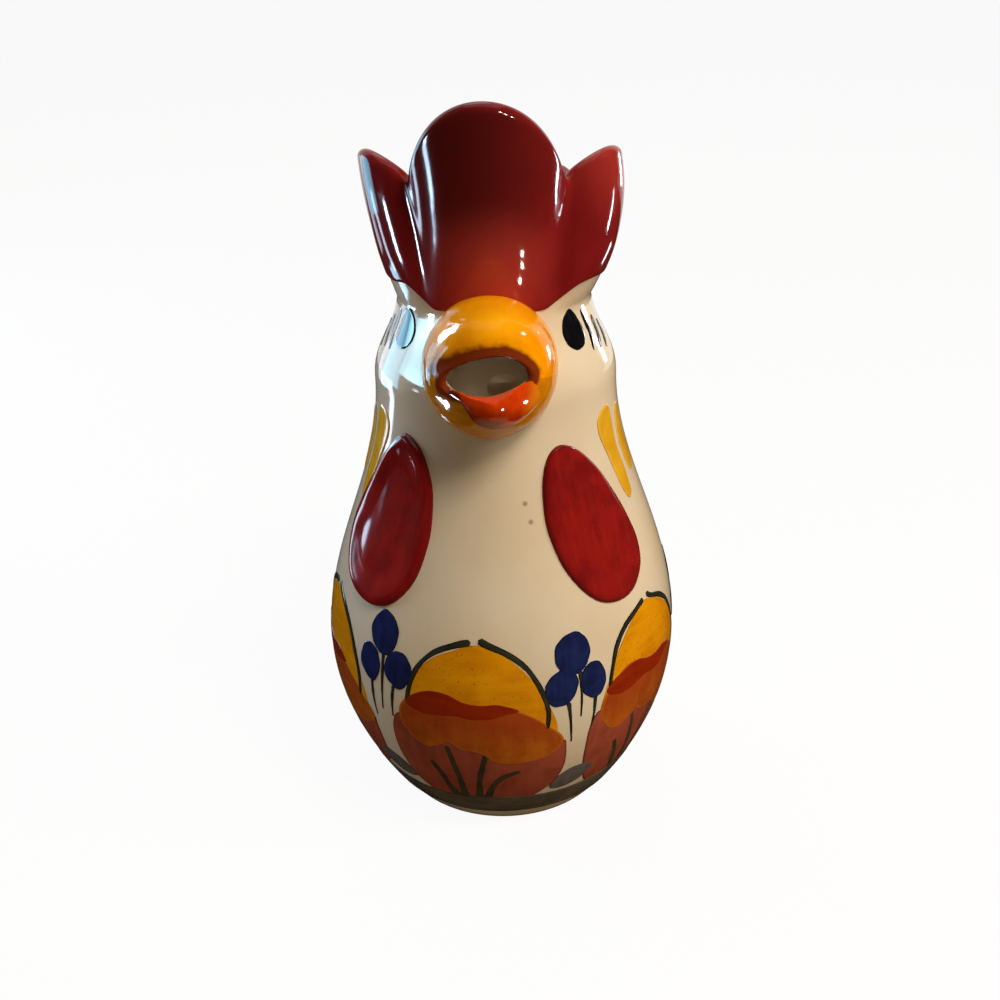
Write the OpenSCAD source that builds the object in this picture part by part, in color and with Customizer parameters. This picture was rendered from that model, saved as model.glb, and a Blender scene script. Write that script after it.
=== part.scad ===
// Glazed earthenware hen pitcher: a hollow egg-shaped body on a foot ring, a pleated comb
// that forms the filling mouth, a beak that pours, a hollow ring handle behind, and raised
// enamel for the eyes, wattles, feathers and the painted border.
// The beak faces -Y, the handle +Y, and the origin is the middle of the foot's underside.

/* [Body] */
// Outside radius of the foot where it meets the table
foot_r = 37.2; // [33:0.2:42]
// Outside radius of the belly at its widest
belly_r = 61.3; // [56:0.1:66]
// Height of the widest place of the belly
belly_z = 62; // [56:1:70]
// Outside radius of the head at eye level
head_r = 39.2; // [36:0.2:43]
// Height where the head is fullest
head_z = 158; // [150:1:166]
// Outside radius of the rim under the comb
neck_r = 31; // [29:0.2:34]
// Height of the rim that the comb stands on
neck_z = 184; // [176:1:192]
// Thickness of the cast wall
wall = 4.5; // [3.5:0.1:5.5]
// Thickness of the floor
floor_t = 5; // [4:0.5:8]

/* [Foot ring] */
// Height of the foot ring
ring_h = 3; // [2:0.5:5]
// Width of the unglazed ring face
ring_w = 7; // [5:0.5:10]

/* [Comb] */
// Wall of the comb lobes
comb_wall = 4.2; // [3.4:0.1:5]
// Rise of the front lobe above the rim
comb_front_rise = 65; // [56:0.5:74]
// Outward lean of the front lobe at its crown
comb_front_lean = 15.5; // [10:0.5:20]
// Rise of the crease beside the front lobe
crease_rise = 39.5; // [34:0.5:44]
// Outward lean of that crease
crease_lean = 2; // [0:0.25:4]
// Angle of that crease at its top
crease_top_a = 44; // [40:1:48]
// Angle of that crease at the rim
crease_low_a = 37; // [33:1:41]
// Rise of the crease behind the side lobe
rear_crease_rise = 30; // [24:0.5:36]
// Angle of the crease behind the side lobe
rear_crease_a = 112; // [104:1:120]
// Extra rise of a side lobe's tip
side_rise = 11.5; // [6:0.5:15]
// Outward bulge of a side lobe
side_bulge = 8.5; // [5:0.5:11]
// Extra rise of a rear lobe
rear_rise = 6; // [3:0.5:9]
// Outward bulge of a rear lobe
rear_bulge = 5; // [2:0.5:7]
// Rise of the notch over the handle
notch_rise = 25.5; // [23:0.5:28]

/* [Beak] */
// Radius of the beak where it leaves the head
beak_r = 20.4; // [18:0.2:22]
// Height of the beak's axis on the vertical line through its root
beak_z = 170; // [167:0.5:173]
// Distance of the beak's root from the pitcher's axis
beak_root = 30; // [28:0.5:31]
// Length of the beak from its root
beak_len = 29.6; // [27:0.2:33]
// Upward tilt of the beak
beak_tilt = 16; // [12:1:20]
// Width of the pouring slot
slot_w = 24; // [20:0.5:26]
// Height of the pouring slot
slot_h = 11; // [8:0.5:13]
// Thickness of the raised lower lip
lip_t = 1.2; // [0.8:0.1:2]
// Width of the lower lip
lip_w = 21; // [18:0.5:24]
// Depth of the lower lip below the slot
lip_drop = 12.5; // [10:0.5:14]

/* [Handle] */
// Radius of the ring that the handle follows
handle_ring_r = 32; // [30:0.5:34]
// Radius of the handle's section
handle_r = 9.5; // [8:0.25:10]
// Radius of the bore inside the cast handle
handle_bore_r = 5.8; // [4:0.1:6.5]
// Distance of the ring's centre behind the pitcher's axis
handle_y = 39; // [37:0.5:41]
// Height of the ring's centre
handle_z = 168; // [165:0.5:170]

/* [Wattles and feathers] */
// Width of a wattle
wattle_w = 33; // [28:0.5:38]
// Length of a wattle
wattle_len = 56; // [50:0.5:60]
// Thickness of a wattle at its rim
wattle_t = 2.6; // [2:0.1:3.5]
// Width of the wattle's raised rim
wattle_rim = 4; // [3:0.25:6]
// Depth of the dish inside the rim
wattle_dish = 1.2; // [0.6:0.1:1.6]
// Height of a wattle's middle
wattle_z = 119; // [115:1:123]
// Angle of a wattle from the beak
wattle_a = 44; // [41:1:47]
// Outward slant of a wattle
wattle_slant = 11; // [8:1:14]
// Width of a side feather
feather_w = 23; // [19:0.5:26]
// Length of a side feather
feather_len = 38; // [34:0.5:42]
// Height of a side feather's middle
feather_z = 137; // [134:0.5:140]
// Angle of a side feather from the beak
feather_a = 83; // [80:1:86]

/* [Eyes] */
// Width of an eye
eye_w = 9; // [7:0.25:11]
// Height of an eye
eye_h = 13; // [11:0.25:14]
// Height of an eye's middle
eye_z = 176.5; // [174:0.5:177]
// Angle of an eye from the beak
eye_a = 55; // [52:1:58]
// Length of the tallest lash
lash_len = 13; // [10:0.25:14]
// Width of a lash
lash_w = 1.1; // [0.8:0.1:1.6]
// Space between lashes
lash_gap = 3.6; // [3:0.1:4.2]

/* [Painted border] */
// Thickness of the raised enamel
enamel_t = 0.5; // [0.3:0.1:0.8]
// Width of a blossom's dome
blossom_w = 43; // [38:0.5:46]
// Rise of the dome above its waist
blossom_rise = 35.5; // [30:0.5:38]
// Height of the blossom's waist
waist_z = 52; // [50:0.5:54]
// Width of the wash and of the cup below it
cup_w = 57; // [52:0.5:58]
// Rise of the orange wash above the waist
wash_rise = 16; // [12:0.5:18]
// Drop of the wash below the waist
wash_drop = 4; // [2.5:0.25:6]
// Drop of the dark cup below the waist
cup_drop = 35; // [34:0.5:38]
// Width of the drawn outlines
line_w = 1.3; // [0.8:0.1:1.8]
// Lower edge of the base band
band_z = 9; // [8:0.25:10]
// Height of the base band
band_h = 9.5; // [8:0.25:10]
// Width of a berry
berry_w = 10.4; // [8:0.2:10.6]
// Height of a berry
berry_h = 13; // [10:0.25:13.5]
// Height of the top berry's middle
berry_z = 83.5; // [81:0.5:86]
// Length of the middle stem
stem_len = 17; // [12:0.5:18]
// Width of a stem
stem_w = 1; // [0.7:0.1:1.2]
// Length of a leaf
leaf_len = 11; // [8:0.5:12]
// Width of a leaf
leaf_w = 6; // [4:0.5:7]
// Height of a leaf's middle
leaf_z = 30; // [28:0.5:32]
// Room for a sprig between two cups
sprig_room = 19; // [17:0.5:20]

/* [Hidden] */

// Angle of the first blossom, and how many blossoms fit round the belly
blossom_first_a = -5.5;
blossom_count = floor(2 * PI * belly_r / (cup_w + sprig_room));
blossom_turn = 360 / blossom_count;
// Uneven spacing of a hand-painted border, as shares of the turn between blossoms
blossom_shift_shares = [0, -15, -15, -7, 7] / 144;
sprig_shift_shares = [-1.5, 0, 0, 0, 1.5] / 144;
// Power that rounds the profile from the foot to the belly
full_share = 0.84;
// Rows of the body's profile, and points of a round outline
profile_rows = 46;
outline_points = 36;
// Columns and rows of a comb lobe
lobe_columns = 12;
lobe_rows = 8;
// Luting gap between a curved seat and what lies on it
seat_gap = enamel_t / 2.5;
// Powers that blunt the tips of a wattle, a feather and an eye
wattle_power = 0.45;
feather_power = 0.9;
eye_power = 0.8;
// How far a radial prism reaches, past the widest relief
reach = belly_r + 4 * wattle_t;
// Swell of the left and right side lobes half way up, as shares of their bulge
left_swell_share = 0.9;
right_swell_share = 2.2;
// Where a side lobe's tip lies along it
tip_share = 0.75;
// Places of the four grass strokes: foot and tip as shares of half a cup's width and of its drop
grass_shares = [[-0.37, 0.84, -0.53, 0.40], [-0.21, 0.83, -0.35, 0.15],
                [-0.04, 0.85, 0.10, 0.17], [0.08, 0.82, 0.43, 0.42]];
// Side berries: across as a share of a berry's width, down as a share of its height
side_berry_shares = [[-0.61, 0.93], [0.58, 0.9]];
// Side stems: top and foot across as shares of a berry's width, and length of the middle stem's
side_stem_shares = [[-0.42, -0.22, 0.66], [0.5, 0.44, 0.42]];
step_z = neck_z / profile_rows;
slot_depth = beak_root + beak_len;

// Outside radius of the body at a height
function rising(u) = pow(sin(90 * u), full_share);
function easing(u) = (1 + cos(180 * u)) / 2;
function body_r(z) =
    z < belly_z ? foot_r + (belly_r - foot_r) * rising(z / belly_z)
    : z < head_z ? head_r + (belly_r - head_r) * easing((z - belly_z) / (head_z - belly_z))
    : neck_r + (head_r - neck_r) * easing((z - head_z) / (neck_z - head_z));

// Heights of the profile's rows from one row to another
function row_heights(low, high) = [for (i = [low:high]) i * step_z];

// Profile of the outside from a height up, moved out by a lift
function outside(from, lift) = concat(
    [[body_r(from) + lift, from]],
    [for (z = row_heights(1, profile_rows)) if (z > from) [body_r(z) + lift, z]]);

function backwards(list) = [for (i = [len(list) - 1:-1:0]) list[i]];

// Rounded drop with its tip up, blunter as the power falls
function drop(w, length, power) = [for (i = [0:outline_points - 1])
    let (a = 360 * (i + 0.5) / outline_points)
    [w / 2 * sin(a) * pow(sin(a / 2), power) / drop_swell(power), length / 2 * cos(a)]];
function drop_swell(power) = max([for (a = [60:2:140]) sin(a) * pow(sin(a / 2), power)]);

// Ellipse as an outline of flats
function oval(w, h) = [for (i = [0:outline_points - 1])
    let (a = 360 * (i + 0.5) / outline_points) [w / 2 * cos(a), h / 2 * sin(a)]];

// Stroke from one point to another, as wide as asked at each end
function stroke(p, q, wp, wq) =
    let (n = [p.y - q.y, q.x - p.x] / norm(q - p))
    [p + n * wp / 2, p - n * wp / 2, q - n * wq / 2, q + n * wq / 2];

// Solid inside of the body's outer surface
module body_solid() {
    rotate_extrude($fn = 96)
        polygon(concat([[0, ring_h]], outside(ring_h, 0), [[0, neck_z]]));
}

// Space that a flat outline sweeps from the axis out through the wall, at an angle from the beak
module through_wall(angle) {
    rotate([0, 0, angle])
        rotate([90, 0, 0])
            linear_extrude(height = reach)
                children();
}

// Skin of the body between two heights, over a span of angles
module skin(angle, span, low, high, lift, thick) {
    rows = row_heights(max(1, floor(low / step_z)), min(profile_rows, ceil(high / step_z)));
    inner = [for (z = rows) [body_r(z) + lift, z]];
    outer = [for (z = rows) [body_r(z) + lift + thick, z]];
    rotate_extrude(angle = span, start = angle - 90 - span / 2, $fn = 96)
        polygon(concat(inner, backwards(outer)));
}

// Relief of one outline on the body
module relief(angle, span, low, high, thick) {
    intersection() {
        skin(angle, span, low, high, 0, thick);
        through_wall(angle) children();
    }
}

// Ring-shaped run of the handle's section, from one angle to another
module handle_run(r, from, to) {
    translate([0, handle_y, handle_z])
        rotate([0, -90, 0])
            rotate_extrude(angle = to - from, start = from, $fn = 96)
                translate([handle_ring_r, 0])
                    circle(r = r, $fn = 48);
}

// Bore of the handle, open through the body wall at its lower end
module handle_bore() {
    handle_run(handle_bore_r, 25, 200);
}

// Frame of the beak: its axis runs up the local Z
module beak_frame() {
    translate([0, -beak_root, beak_z])
        rotate([90 - beak_tilt, 0, 0])
            children();
}

// Round of the beak, grown by a thickness
module beak_round(grow) {
    rows = [for (i = [0:16]) sin(90 * i / 16)];
    rotate_extrude($fn = 96)
        polygon(concat(
            [[0, -beak_len / 4], [beak_r + grow, -beak_len / 4]],
            [for (u = rows) [(beak_r + grow) * pow(1 - pow(u, 2.4), 0.5), (beak_len + grow) * u]]));
}

// Pouring slot, drawn out through the head's wall
module slot() {
    beak_frame()
        translate([0, 0, -beak_root / 2])
            linear_extrude(height = slot_depth + beak_root)
                polygon(oval(slot_w, slot_h));
}

// What the beak is luted against: the head and the foot of the front lobe
module beak_seat() {
    lobe_foot = beak_r / 2;
    body_solid();
    translate([0, 0, neck_z])
        cylinder(h = lobe_foot, r1 = neck_r + seat_gap, r2 = neck_r + comb_front_lean / 6, $fn = 96);
}

module beak_shell() {
    difference() {
        beak_frame() beak_round(0);
        beak_seat();
        slot();
    }
}

// Half space above or below the beak's parting
module beak_half(side) {
    beak_frame()
        translate([-2 * beak_r, side > 0 ? 0 : -4 * beak_r, -beak_len])
            cube([4 * beak_r, 4 * beak_r, 3 * beak_len]);
}

// Comb lobes. A lobe runs from v = 0 at its front crease to v = 1 at its rear crease, and the
// front lobe from its middle to its crease; t runs from the rim to the top
function mix(a, b, v) = a + (b - a) * v;
function crest(v) = max(0, sin(180 * pow(v, tip_share)));
function hump(v) = pow(sin(180 * v), 2);
function lobe_rise(k, v) =
    k == 0 ? mix(crease_rise, comb_front_rise, pow(max(0, 1 - v * v), 1.25))
    : k == 1 ? mix(crease_rise, rear_crease_rise, v) + side_rise * crest(v)
    : mix(rear_crease_rise, notch_rise, v) + rear_rise * hump(v);
function lobe_lean(k, v, t, swell) =
    k == 0 ? crease_lean * t + (comb_front_lean - crease_lean) * cos(90 * v) * pow(t, 1.4)
    : k == 1 ? crease_lean * (1 - v) * t + side_bulge * crest(v) * t * (1 + swell * (1 - t))
    : rear_bulge * hump(v) * t;
function lobe_angle(k, v, t) =
    let (front = mix(crease_low_a, crease_top_a, t))
    k == 0 ? front * v
    : k == 1 ? mix(front, rear_crease_a, v)
    : mix(rear_crease_a, 180, v);

// Section of a lobe, up the outside, over the rounded lip and down the inside
function lobe_section(k, v, swell) =
    let (lip = comb_wall / 2, rise = lobe_rise(k, abs(v)) - lip)
    concat(
        [for (i = [0:lobe_rows]) let (t = i / lobe_rows)
            [neck_r + lobe_lean(k, abs(v), t, swell), neck_z + rise * t, t]],
        [for (a = [45, 90, 135])
            [neck_r + lobe_lean(k, abs(v), 1, swell) - lip + lip * cos(a), neck_z + rise + lip * sin(a), 1]],
        [for (i = [lobe_rows:-1:0]) let (t = i / lobe_rows)
            [neck_r + lobe_lean(k, abs(v), t, swell) - comb_wall, neck_z + rise * t, t]]);

// One lobe as a closed shell, on the right of the pitcher for side 1 and on the left for -1
module lobe(k, side, swell) {
    first = k == 0 ? -1 : 0;
    columns = k == 0 ? 2 * lobe_columns : lobe_columns;
    count = 2 * lobe_rows + 5;
    half = lobe_rows + 2;
    points = [for (c = [0:columns])
        let (v = first + (1 - first) * c / columns)
        for (p = lobe_section(k, v, swell))
            let (a = side * (v < 0 ? -1 : 1) * lobe_angle(k, abs(v), p.z))
            [p.x * sin(a), -p.x * cos(a), p.y]];
    walls = [for (c = [0:columns - 1], j = [0:count - 1])
        let (n = (j + 1) % count, a = c * count, b = a + count)
        each [[a + j, a + n, b + n], [a + j, b + n, b + j]]];
    near = [for (j = [0:half - 1])
        let (m = count - 1 - j)
        each (j == half - 1 ? [[j, m, j + 1]] : [[j, m, m - 1], [j, m - 1, j + 1]])];
    far = [for (f = near) [f.x, f.z, f.y] + columns * count * [1, 1, 1]];
    faces = concat(walls, near, far);
    polyhedron(points = points, faces = side > 0 ? faces : [for (f = faces) [f.x, f.z, f.y]]);
}

// Painted outlines, each about its own middle line
module dome_shape() {
    translate([0, waist_z]) polygon(oval(blossom_w, 2 * blossom_rise));
}

module wash_top() {
    translate([0, waist_z]) polygon(oval(cup_w, 2 * wash_rise));
}

module cup_shape() {
    difference() {
        intersection() {
            translate([0, waist_z]) polygon(oval(cup_w, 2 * cup_drop));
            translate([-cup_w, band_z + band_h]) square([2 * cup_w, waist_z - band_z - band_h]);
        }
        wash_shape();
    }
}

// Lower edge of the wash, three shallow scallops
function wash_edge(x) = waist_z - wash_drop * (0.7 + 0.3 * cos(720 * x / cup_w));
module wash_shape() {
    below = [for (i = [-12:12]) let (x = cup_w * i / 24) [x, wash_edge(x)]];
    intersection() {
        union() {
            wash_top();
            translate([0, waist_z]) polygon(oval(cup_w, 2 * cup_drop));
        }
        polygon(concat([[-cup_w / 2, waist_z + wash_rise]], below, [[cup_w / 2, waist_z + wash_rise]]));
    }
}

module washed() {
    difference() {
        wash_shape();
        translate([-cup_w, waist_z]) difference() {
            square([2 * cup_w, 2 * wash_rise]);
            translate([cup_w, 0]) polygon(oval(cup_w, 2 * wash_rise));
        }
    }
}

module yellow_shape() {
    difference() {
        dome_shape();
        washed();
        translate([-cup_w, 0]) square([2 * cup_w, waist_z]);
    }
}

// Two arcs drawn over the dome, open at its crown
module outline_shape() {
    near_w = blossom_w / 2 + line_w / 2;
    for (range = [[88, 44], [94, 152]]) {
        arc = [for (i = [0:12]) let (a = mix(range[0], range[1], i / 12)) a];
        polygon(concat(
            [for (a = arc) [near_w * cos(a), waist_z + (blossom_rise + line_w / 2) * sin(a)]],
            [for (a = backwards(arc)) [(near_w + line_w) * cos(a),
                waist_z + (blossom_rise + line_w * 3 / 2) * sin(a)]]));
    }
}

module grass_shape() {
    half = cup_w / 2;
    for (s = grass_shares)
        polygon(stroke([half * s[0], waist_z - cup_drop * s[1]],
                       [half * s[2], waist_z - cup_drop * s[3]], line_w * 1.4, line_w * 0.8));
}

module sprig_berries() {
    translate([0, berry_z]) polygon(oval(berry_w, berry_h));
    for (s = side_berry_shares)
        translate([berry_w * s[0], berry_z - berry_h * s[1]])
            polygon(oval(berry_w, berry_h));
}

module sprig_stems() {
    top = berry_z - berry_h / 2 - seat_gap;
    polygon(stroke([0, top], [0, top - stem_len], stem_w, stem_w));
    for (i = [0:1]) {
        s = side_stem_shares[i];
        z = top - berry_h * side_berry_shares[i][1];
        polygon(stroke([berry_w * s[0], z], [berry_w * s[1], z - stem_len * s[2]], stem_w, stem_w));
    }
}

module leaf_shape() {
    translate([0, leaf_z])
        rotate(20)
            polygon(oval(leaf_len, leaf_w));
}

module body_shell() {
    color("ivory") difference() {
        rotate_extrude($fn = 96)
            polygon(concat([[0, ring_h]], outside(ring_h, 0),
                           backwards(outside(ring_h + floor_t, -wall)), [[0, ring_h + floor_t]]));
        slot();
        handle_bore();
    }
}

module foot_ring() {
    color("tan") rotate_extrude($fn = 96)
        polygon([[foot_r - ring_w, 0], [foot_r, 0], [body_r(ring_h), ring_h], [foot_r - ring_w, ring_h]]);
}

module comb_front() {
    color("firebrick") lobe(0, 1, 0);
}

module comb_side_left() {
    color("firebrick") lobe(1, -1, left_swell_share);
}

module comb_side_right() {
    color("firebrick") lobe(1, 1, right_swell_share);
}

module comb_rear_left() {
    color("darkred") lobe(2, -1, 0);
}

module comb_rear_right() {
    color("darkred") lobe(2, 1, 0);
}

module beak_upper() {
    color("orange") intersection() {
        beak_shell();
        beak_half(1);
    }
}

module beak_lower() {
    color("darkorange") intersection() {
        beak_shell();
        beak_half(-1);
    }
}

module beak_lip() {
    color("orangered") difference() {
        beak_frame() intersection() {
            beak_round(lip_t);
            linear_extrude(height = 2 * beak_len)
                translate([0, -slot_h / 4]) polygon(oval(lip_w, 2 * lip_drop));
            translate([-lip_w, -2 * lip_drop, beak_len / 2])
                cube([2 * lip_w, 2 * lip_drop, beak_len]);
        }
        beak_frame() beak_round(0);
        beak_seat();
        slot();
    }
}

module handle() {
    color("ivory") difference() {
        handle_run(handle_r, -30, 210);
        handle_bore();
        body_solid();
        translate([0, 0, neck_z])
            cylinder(h = notch_rise + handle_r, r = neck_r + seat_gap, $fn = 96);
    }
}

module wattle(side) {
    span = 2 * asin(wattle_w / body_r(wattle_z));
    low = wattle_z - wattle_len / 2;
    high = wattle_z + wattle_len / 2;
    color("firebrick") difference() {
        relief(side * wattle_a, span, low, high, wattle_t)
            wattle_outline(side, 0);
        intersection() {
            skin(side * wattle_a, span, low, high, wattle_t - wattle_dish, wattle_t);
            through_wall(side * wattle_a)
                wattle_outline(side, wattle_rim);
        }
    }
}

module wattle_outline(side, rim) {
    translate([0, wattle_z])
        rotate(side * wattle_slant)
            polygon(drop(wattle_w - 2 * rim, wattle_len - 2 * rim, wattle_power));
}

module wattle_left() {
    wattle(-1);
}

module wattle_right() {
    wattle(1);
}

module feather(side) {
    color("gold")
        relief(side * feather_a, 80, feather_z - feather_len / 2, feather_z + feather_len / 2, enamel_t)
            translate([0, feather_z])
                rotate(180 + side * wattle_slant)
                    polygon(drop(feather_w, feather_len, feather_power));
}

module feather_left() {
    feather(-1);
}

module feather_right() {
    feather(1);
}

module eye(side) {
    color("black")
        relief(side * eye_a, 50, eye_z - eye_h / 2, eye_z + eye_h / 2, enamel_t)
            translate([0, eye_z])
                polygon(drop(eye_w, eye_h, eye_power));
}

module eye_left() {
    eye(-1);
}

module eye_right() {
    eye(1);
}

// Three lashes behind an eye, each shorter than the one before
module lashes(side) {
    turn = asin(lash_gap / body_r(eye_z));
    first = eye_a + asin((eye_w / 2 + lash_gap / 2) / body_r(eye_z));
    color("black")
        for (i = [0:2])
            relief(side * (first + i * turn), 30, eye_z - lash_len, eye_z + lash_len / 2, enamel_t)
                polygon(stroke([0, eye_z + lash_len / 2 - (i + 1) * lash_w],
                               [side * lash_w, eye_z - lash_len / 2], lash_w, lash_w));
}

module lashes_left() {
    lashes(-1);
}

module lashes_right() {
    lashes(1);
}

// Angles of a blossom and of the sprig behind it
function cycled(list, i) = list[(i % blossom_count) % len(list)];
function blossom_angle(i) =
    blossom_first_a + blossom_turn * (i + cycled(blossom_shift_shares, i));
function sprig_angle(i) =
    (blossom_angle(i) + blossom_angle(i + 1)) / 2 + blossom_turn * cycled(sprig_shift_shares, i);

// One painted motif at each blossom or each sprig
module at_blossoms(low, high) {
    for (i = [0:blossom_count - 1])
        relief(blossom_angle(i), 80, low, high, enamel_t) children();
}

module at_sprigs(low, high) {
    for (i = [0:blossom_count - 1])
        relief(sprig_angle(i), 40, low, high, enamel_t) children();
}

module blossom_domes() {
    color("gold") at_blossoms(waist_z, waist_z + blossom_rise) yellow_shape();
}

module blossom_washes() {
    color("darkorange") at_blossoms(waist_z - wash_drop, waist_z + wash_rise) washed();
}

module blossom_cups() {
    color("saddlebrown") at_blossoms(band_z + band_h, waist_z) difference() {
        cup_shape();
        grass_shape();
    }
}

module blossom_outlines() {
    color("darkslategray")
        at_blossoms(waist_z, waist_z + blossom_rise + 2 * line_w) outline_shape();
}

module grass_strokes() {
    color("darkslategray") at_blossoms(band_z + band_h, waist_z) grass_shape();
}

module berries() {
    color("midnightblue") at_sprigs(berry_z - 2 * berry_h, berry_z + berry_h) sprig_berries();
}

module berry_stems() {
    color("darkslategray")
        at_sprigs(berry_z - 2 * berry_h - stem_len, berry_z) sprig_stems();
}

module leaves() {
    color("dimgray") at_sprigs(leaf_z - leaf_len, leaf_z + leaf_len) leaf_shape();
}

module base_band() {
    edge = [band_z, each [for (z = row_heights(1, profile_rows)) if (z > band_z && z < band_z + band_h) z],
            band_z + band_h];
    inner = [for (z = edge) [chord_r(z), z]];
    outer = [for (z = edge) [chord_r(z) + enamel_t, z]];
    color("darkslategray") rotate_extrude($fn = 96)
        polygon(concat(inner, backwards(outer)));
}

// Radius of the body's profile between two of its rows
function chord_r(z) =
    let (i = floor(z / step_z), u = z / step_z - i)
    mix(body_r(i * step_z), body_r((i + 1) * step_z), u);

body_shell();
foot_ring();
comb_front();
comb_side_left();
comb_side_right();
comb_rear_left();
comb_rear_right();
beak_upper();
beak_lower();
beak_lip();
handle();
wattle_left();
wattle_right();
feather_left();
feather_right();
eye_left();
eye_right();
lashes_left();
lashes_right();
blossom_domes();
blossom_washes();
blossom_cups();
blossom_outlines();
grass_strokes();
berries();
berry_stems();
leaves();
base_band();
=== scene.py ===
"""Looks of a hen-shaped pitcher in glazed earthenware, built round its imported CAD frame.

Lengths are in millimetres and angles in degrees from the beak (-Y) towards +X, until a mesh
is written, which is in metres. Pieces start as balls, hoops and spun sections, and formulas then
set their points, because the pleats, the beak and the enamel follow surfaces that no row of
operators reaches.
"""

import logging
import math
from dataclasses import dataclass, field
from enum import Enum
from typing import Sequence

import bpy
import numpy as np
from mathutils import Matrix, Vector


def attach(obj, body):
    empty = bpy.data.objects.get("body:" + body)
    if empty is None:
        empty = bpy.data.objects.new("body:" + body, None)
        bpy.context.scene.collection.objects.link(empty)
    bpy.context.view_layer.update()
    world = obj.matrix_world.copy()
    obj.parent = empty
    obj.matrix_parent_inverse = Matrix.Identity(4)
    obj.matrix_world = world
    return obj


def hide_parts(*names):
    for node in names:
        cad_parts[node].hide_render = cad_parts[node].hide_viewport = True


LOG = logging.getLogger("hen_pitcher")
MM = 0.001
GLASS_IOR = 1.5
HOOP_R = 2.0  # a new hoop's radius, with a section of radius 1
CRISP, PLAIN, SOFT = 40.0, 50.0, 60.0  # angles of an edge that stays sharp in the shading
OUTLINE_STEPS = 720  # points read along a closed outline
PATH_STEPS = 400  # points read along a brush's path
HAIR = 1e-6  # a distance too small to count
Points = Sequence[tuple[float, float]]
Spot = tuple[float, float, float]
Line = np.ndarray
Mesh = bpy.types.Object
Socket = bpy.types.NodeSocket

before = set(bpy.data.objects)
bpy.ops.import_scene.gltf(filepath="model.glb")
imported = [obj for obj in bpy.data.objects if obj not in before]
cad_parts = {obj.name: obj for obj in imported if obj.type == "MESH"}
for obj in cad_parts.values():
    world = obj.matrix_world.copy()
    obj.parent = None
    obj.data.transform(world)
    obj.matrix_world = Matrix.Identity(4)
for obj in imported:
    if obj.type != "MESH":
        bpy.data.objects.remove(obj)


class Side(Enum):
    """Which side of the beak a paired piece is on, as seen by someone who faces the hen."""

    LEFT = -1
    RIGHT = 1

    def turned(self, points: Points) -> list[tuple[float, float]]:
        """Mirror an outline that is drawn for the right side where this is the left."""
        return [(self.value * x, z) for x, z in points]


# Form: the outside that every piece takes its place from.


def smooth_line(points: Points, closed: bool, count: int) -> Line:
    """Run a smooth curve through given points.

    Args:
        points: Places that the curve passes through.
        closed: Whether the curve returns to its first point.
        count: How many even steps to give back.

    Returns:
        An array of places, one row each.
    """
    p = np.asarray(points, dtype=float)
    if closed:
        p = np.vstack([p[-1:], p, p[:2]])
    else:
        p = np.vstack([2 * p[0] - p[1], p, 2 * p[-1] - p[-2]])
    runs = []
    for i in range(1, len(p) - 2):
        t = np.linspace(0, 1, 24, endpoint=False)[:, None]
        a, b, c, d = p[i - 1], p[i], p[i + 1], p[i + 2]
        square, cube = 2 * a - 5 * b + 4 * c - d, 3 * b - a - 3 * c + d
        runs.append(0.5 * (2 * b + (c - a) * t + square * t**2 + cube * t**3))
    dense = np.vstack([*runs, p[-2][None] if not closed else runs[0][:1]])
    steps = strides(dense)
    return read_at(dense, steps, np.linspace(0, steps[-1], count, endpoint=not closed))


def strides(line: Line) -> np.ndarray:
    """Give how far along a line each of its points is."""
    return np.concatenate([[0], np.cumsum(np.linalg.norm(np.diff(line, axis=0), axis=1))])


def read_at(line: Line, places: np.ndarray, at: np.ndarray) -> np.ndarray:
    """Read a line's points in between, where its own points are at the given places."""
    return np.stack([np.interp(at, places, line[:, k]) for k in range(line.shape[1])], 1)


def read_round(loop: Line, share: np.ndarray) -> np.ndarray:
    """Read a closed line at shares of the way round it."""
    return read_at(np.vstack([loop, loop[:1]]), np.arange(len(loop) + 1), share * len(loop))


def ripple(a: np.ndarray, *waves: tuple[float, float, object]) -> np.ndarray:
    """Add up waves round a turn, each given by its height, its count and where it starts."""
    return sum(high * np.sin(count * a + start) for high, count, start in waves)


def rounded(x: np.ndarray, over: float) -> np.ndarray:
    """Rise from 0 to 1 over a distance, as a quarter of a circle does."""
    return np.sqrt(1 - (1 - np.clip(x / over, 0, 1)) ** 2)


def bearing(p: np.ndarray) -> np.ndarray:
    """Give the angle of points round the axis, from the beak."""
    return np.degrees(np.arctan2(p[..., 0], -p[..., 1]))


def ball_grid(p: np.ndarray) -> tuple[np.ndarray, np.ndarray]:
    """Read a new ball's points as shares of the way from pole to pole, and turns in radians."""
    return np.arccos(np.clip(p[:, 2], -1, 1)) / np.pi, np.arctan2(p[:, 1], p[:, 0])


def hoop_grid(p: np.ndarray) -> tuple[np.ndarray, np.ndarray]:
    """Read a new hoop's points as angles from the beak, and turns of its section in radians."""
    return bearing(p), np.arctan2(p[:, 2], np.hypot(p[:, 0], p[:, 1]) - HOOP_R)


def ease(x: np.ndarray, low: float, high: float) -> np.ndarray:
    """Rise smoothly from 0 at low to 1 at high."""
    t = np.clip((np.asarray(x, dtype=float) - low) / (high - low), 0, 1)
    return t * t * (3 - 2 * t)


def bell(x: np.ndarray, middle: float, width: float) -> np.ndarray:
    """Bell-shaped bump of height 1 round a middle."""
    return np.exp(-(((np.asarray(x, dtype=float) - middle) / width) ** 2))


@dataclass(frozen=True)
class Patch:
    """A soft patch, strongest in its middle."""

    high: float
    x: float
    wide: float
    y: float
    tall: float

    def over(self, x: np.ndarray, y: np.ndarray) -> np.ndarray:
        """Give its strength at places."""
        return self.high * bell(x, self.x, self.wide) * bell(y, self.y, self.tall)


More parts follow.
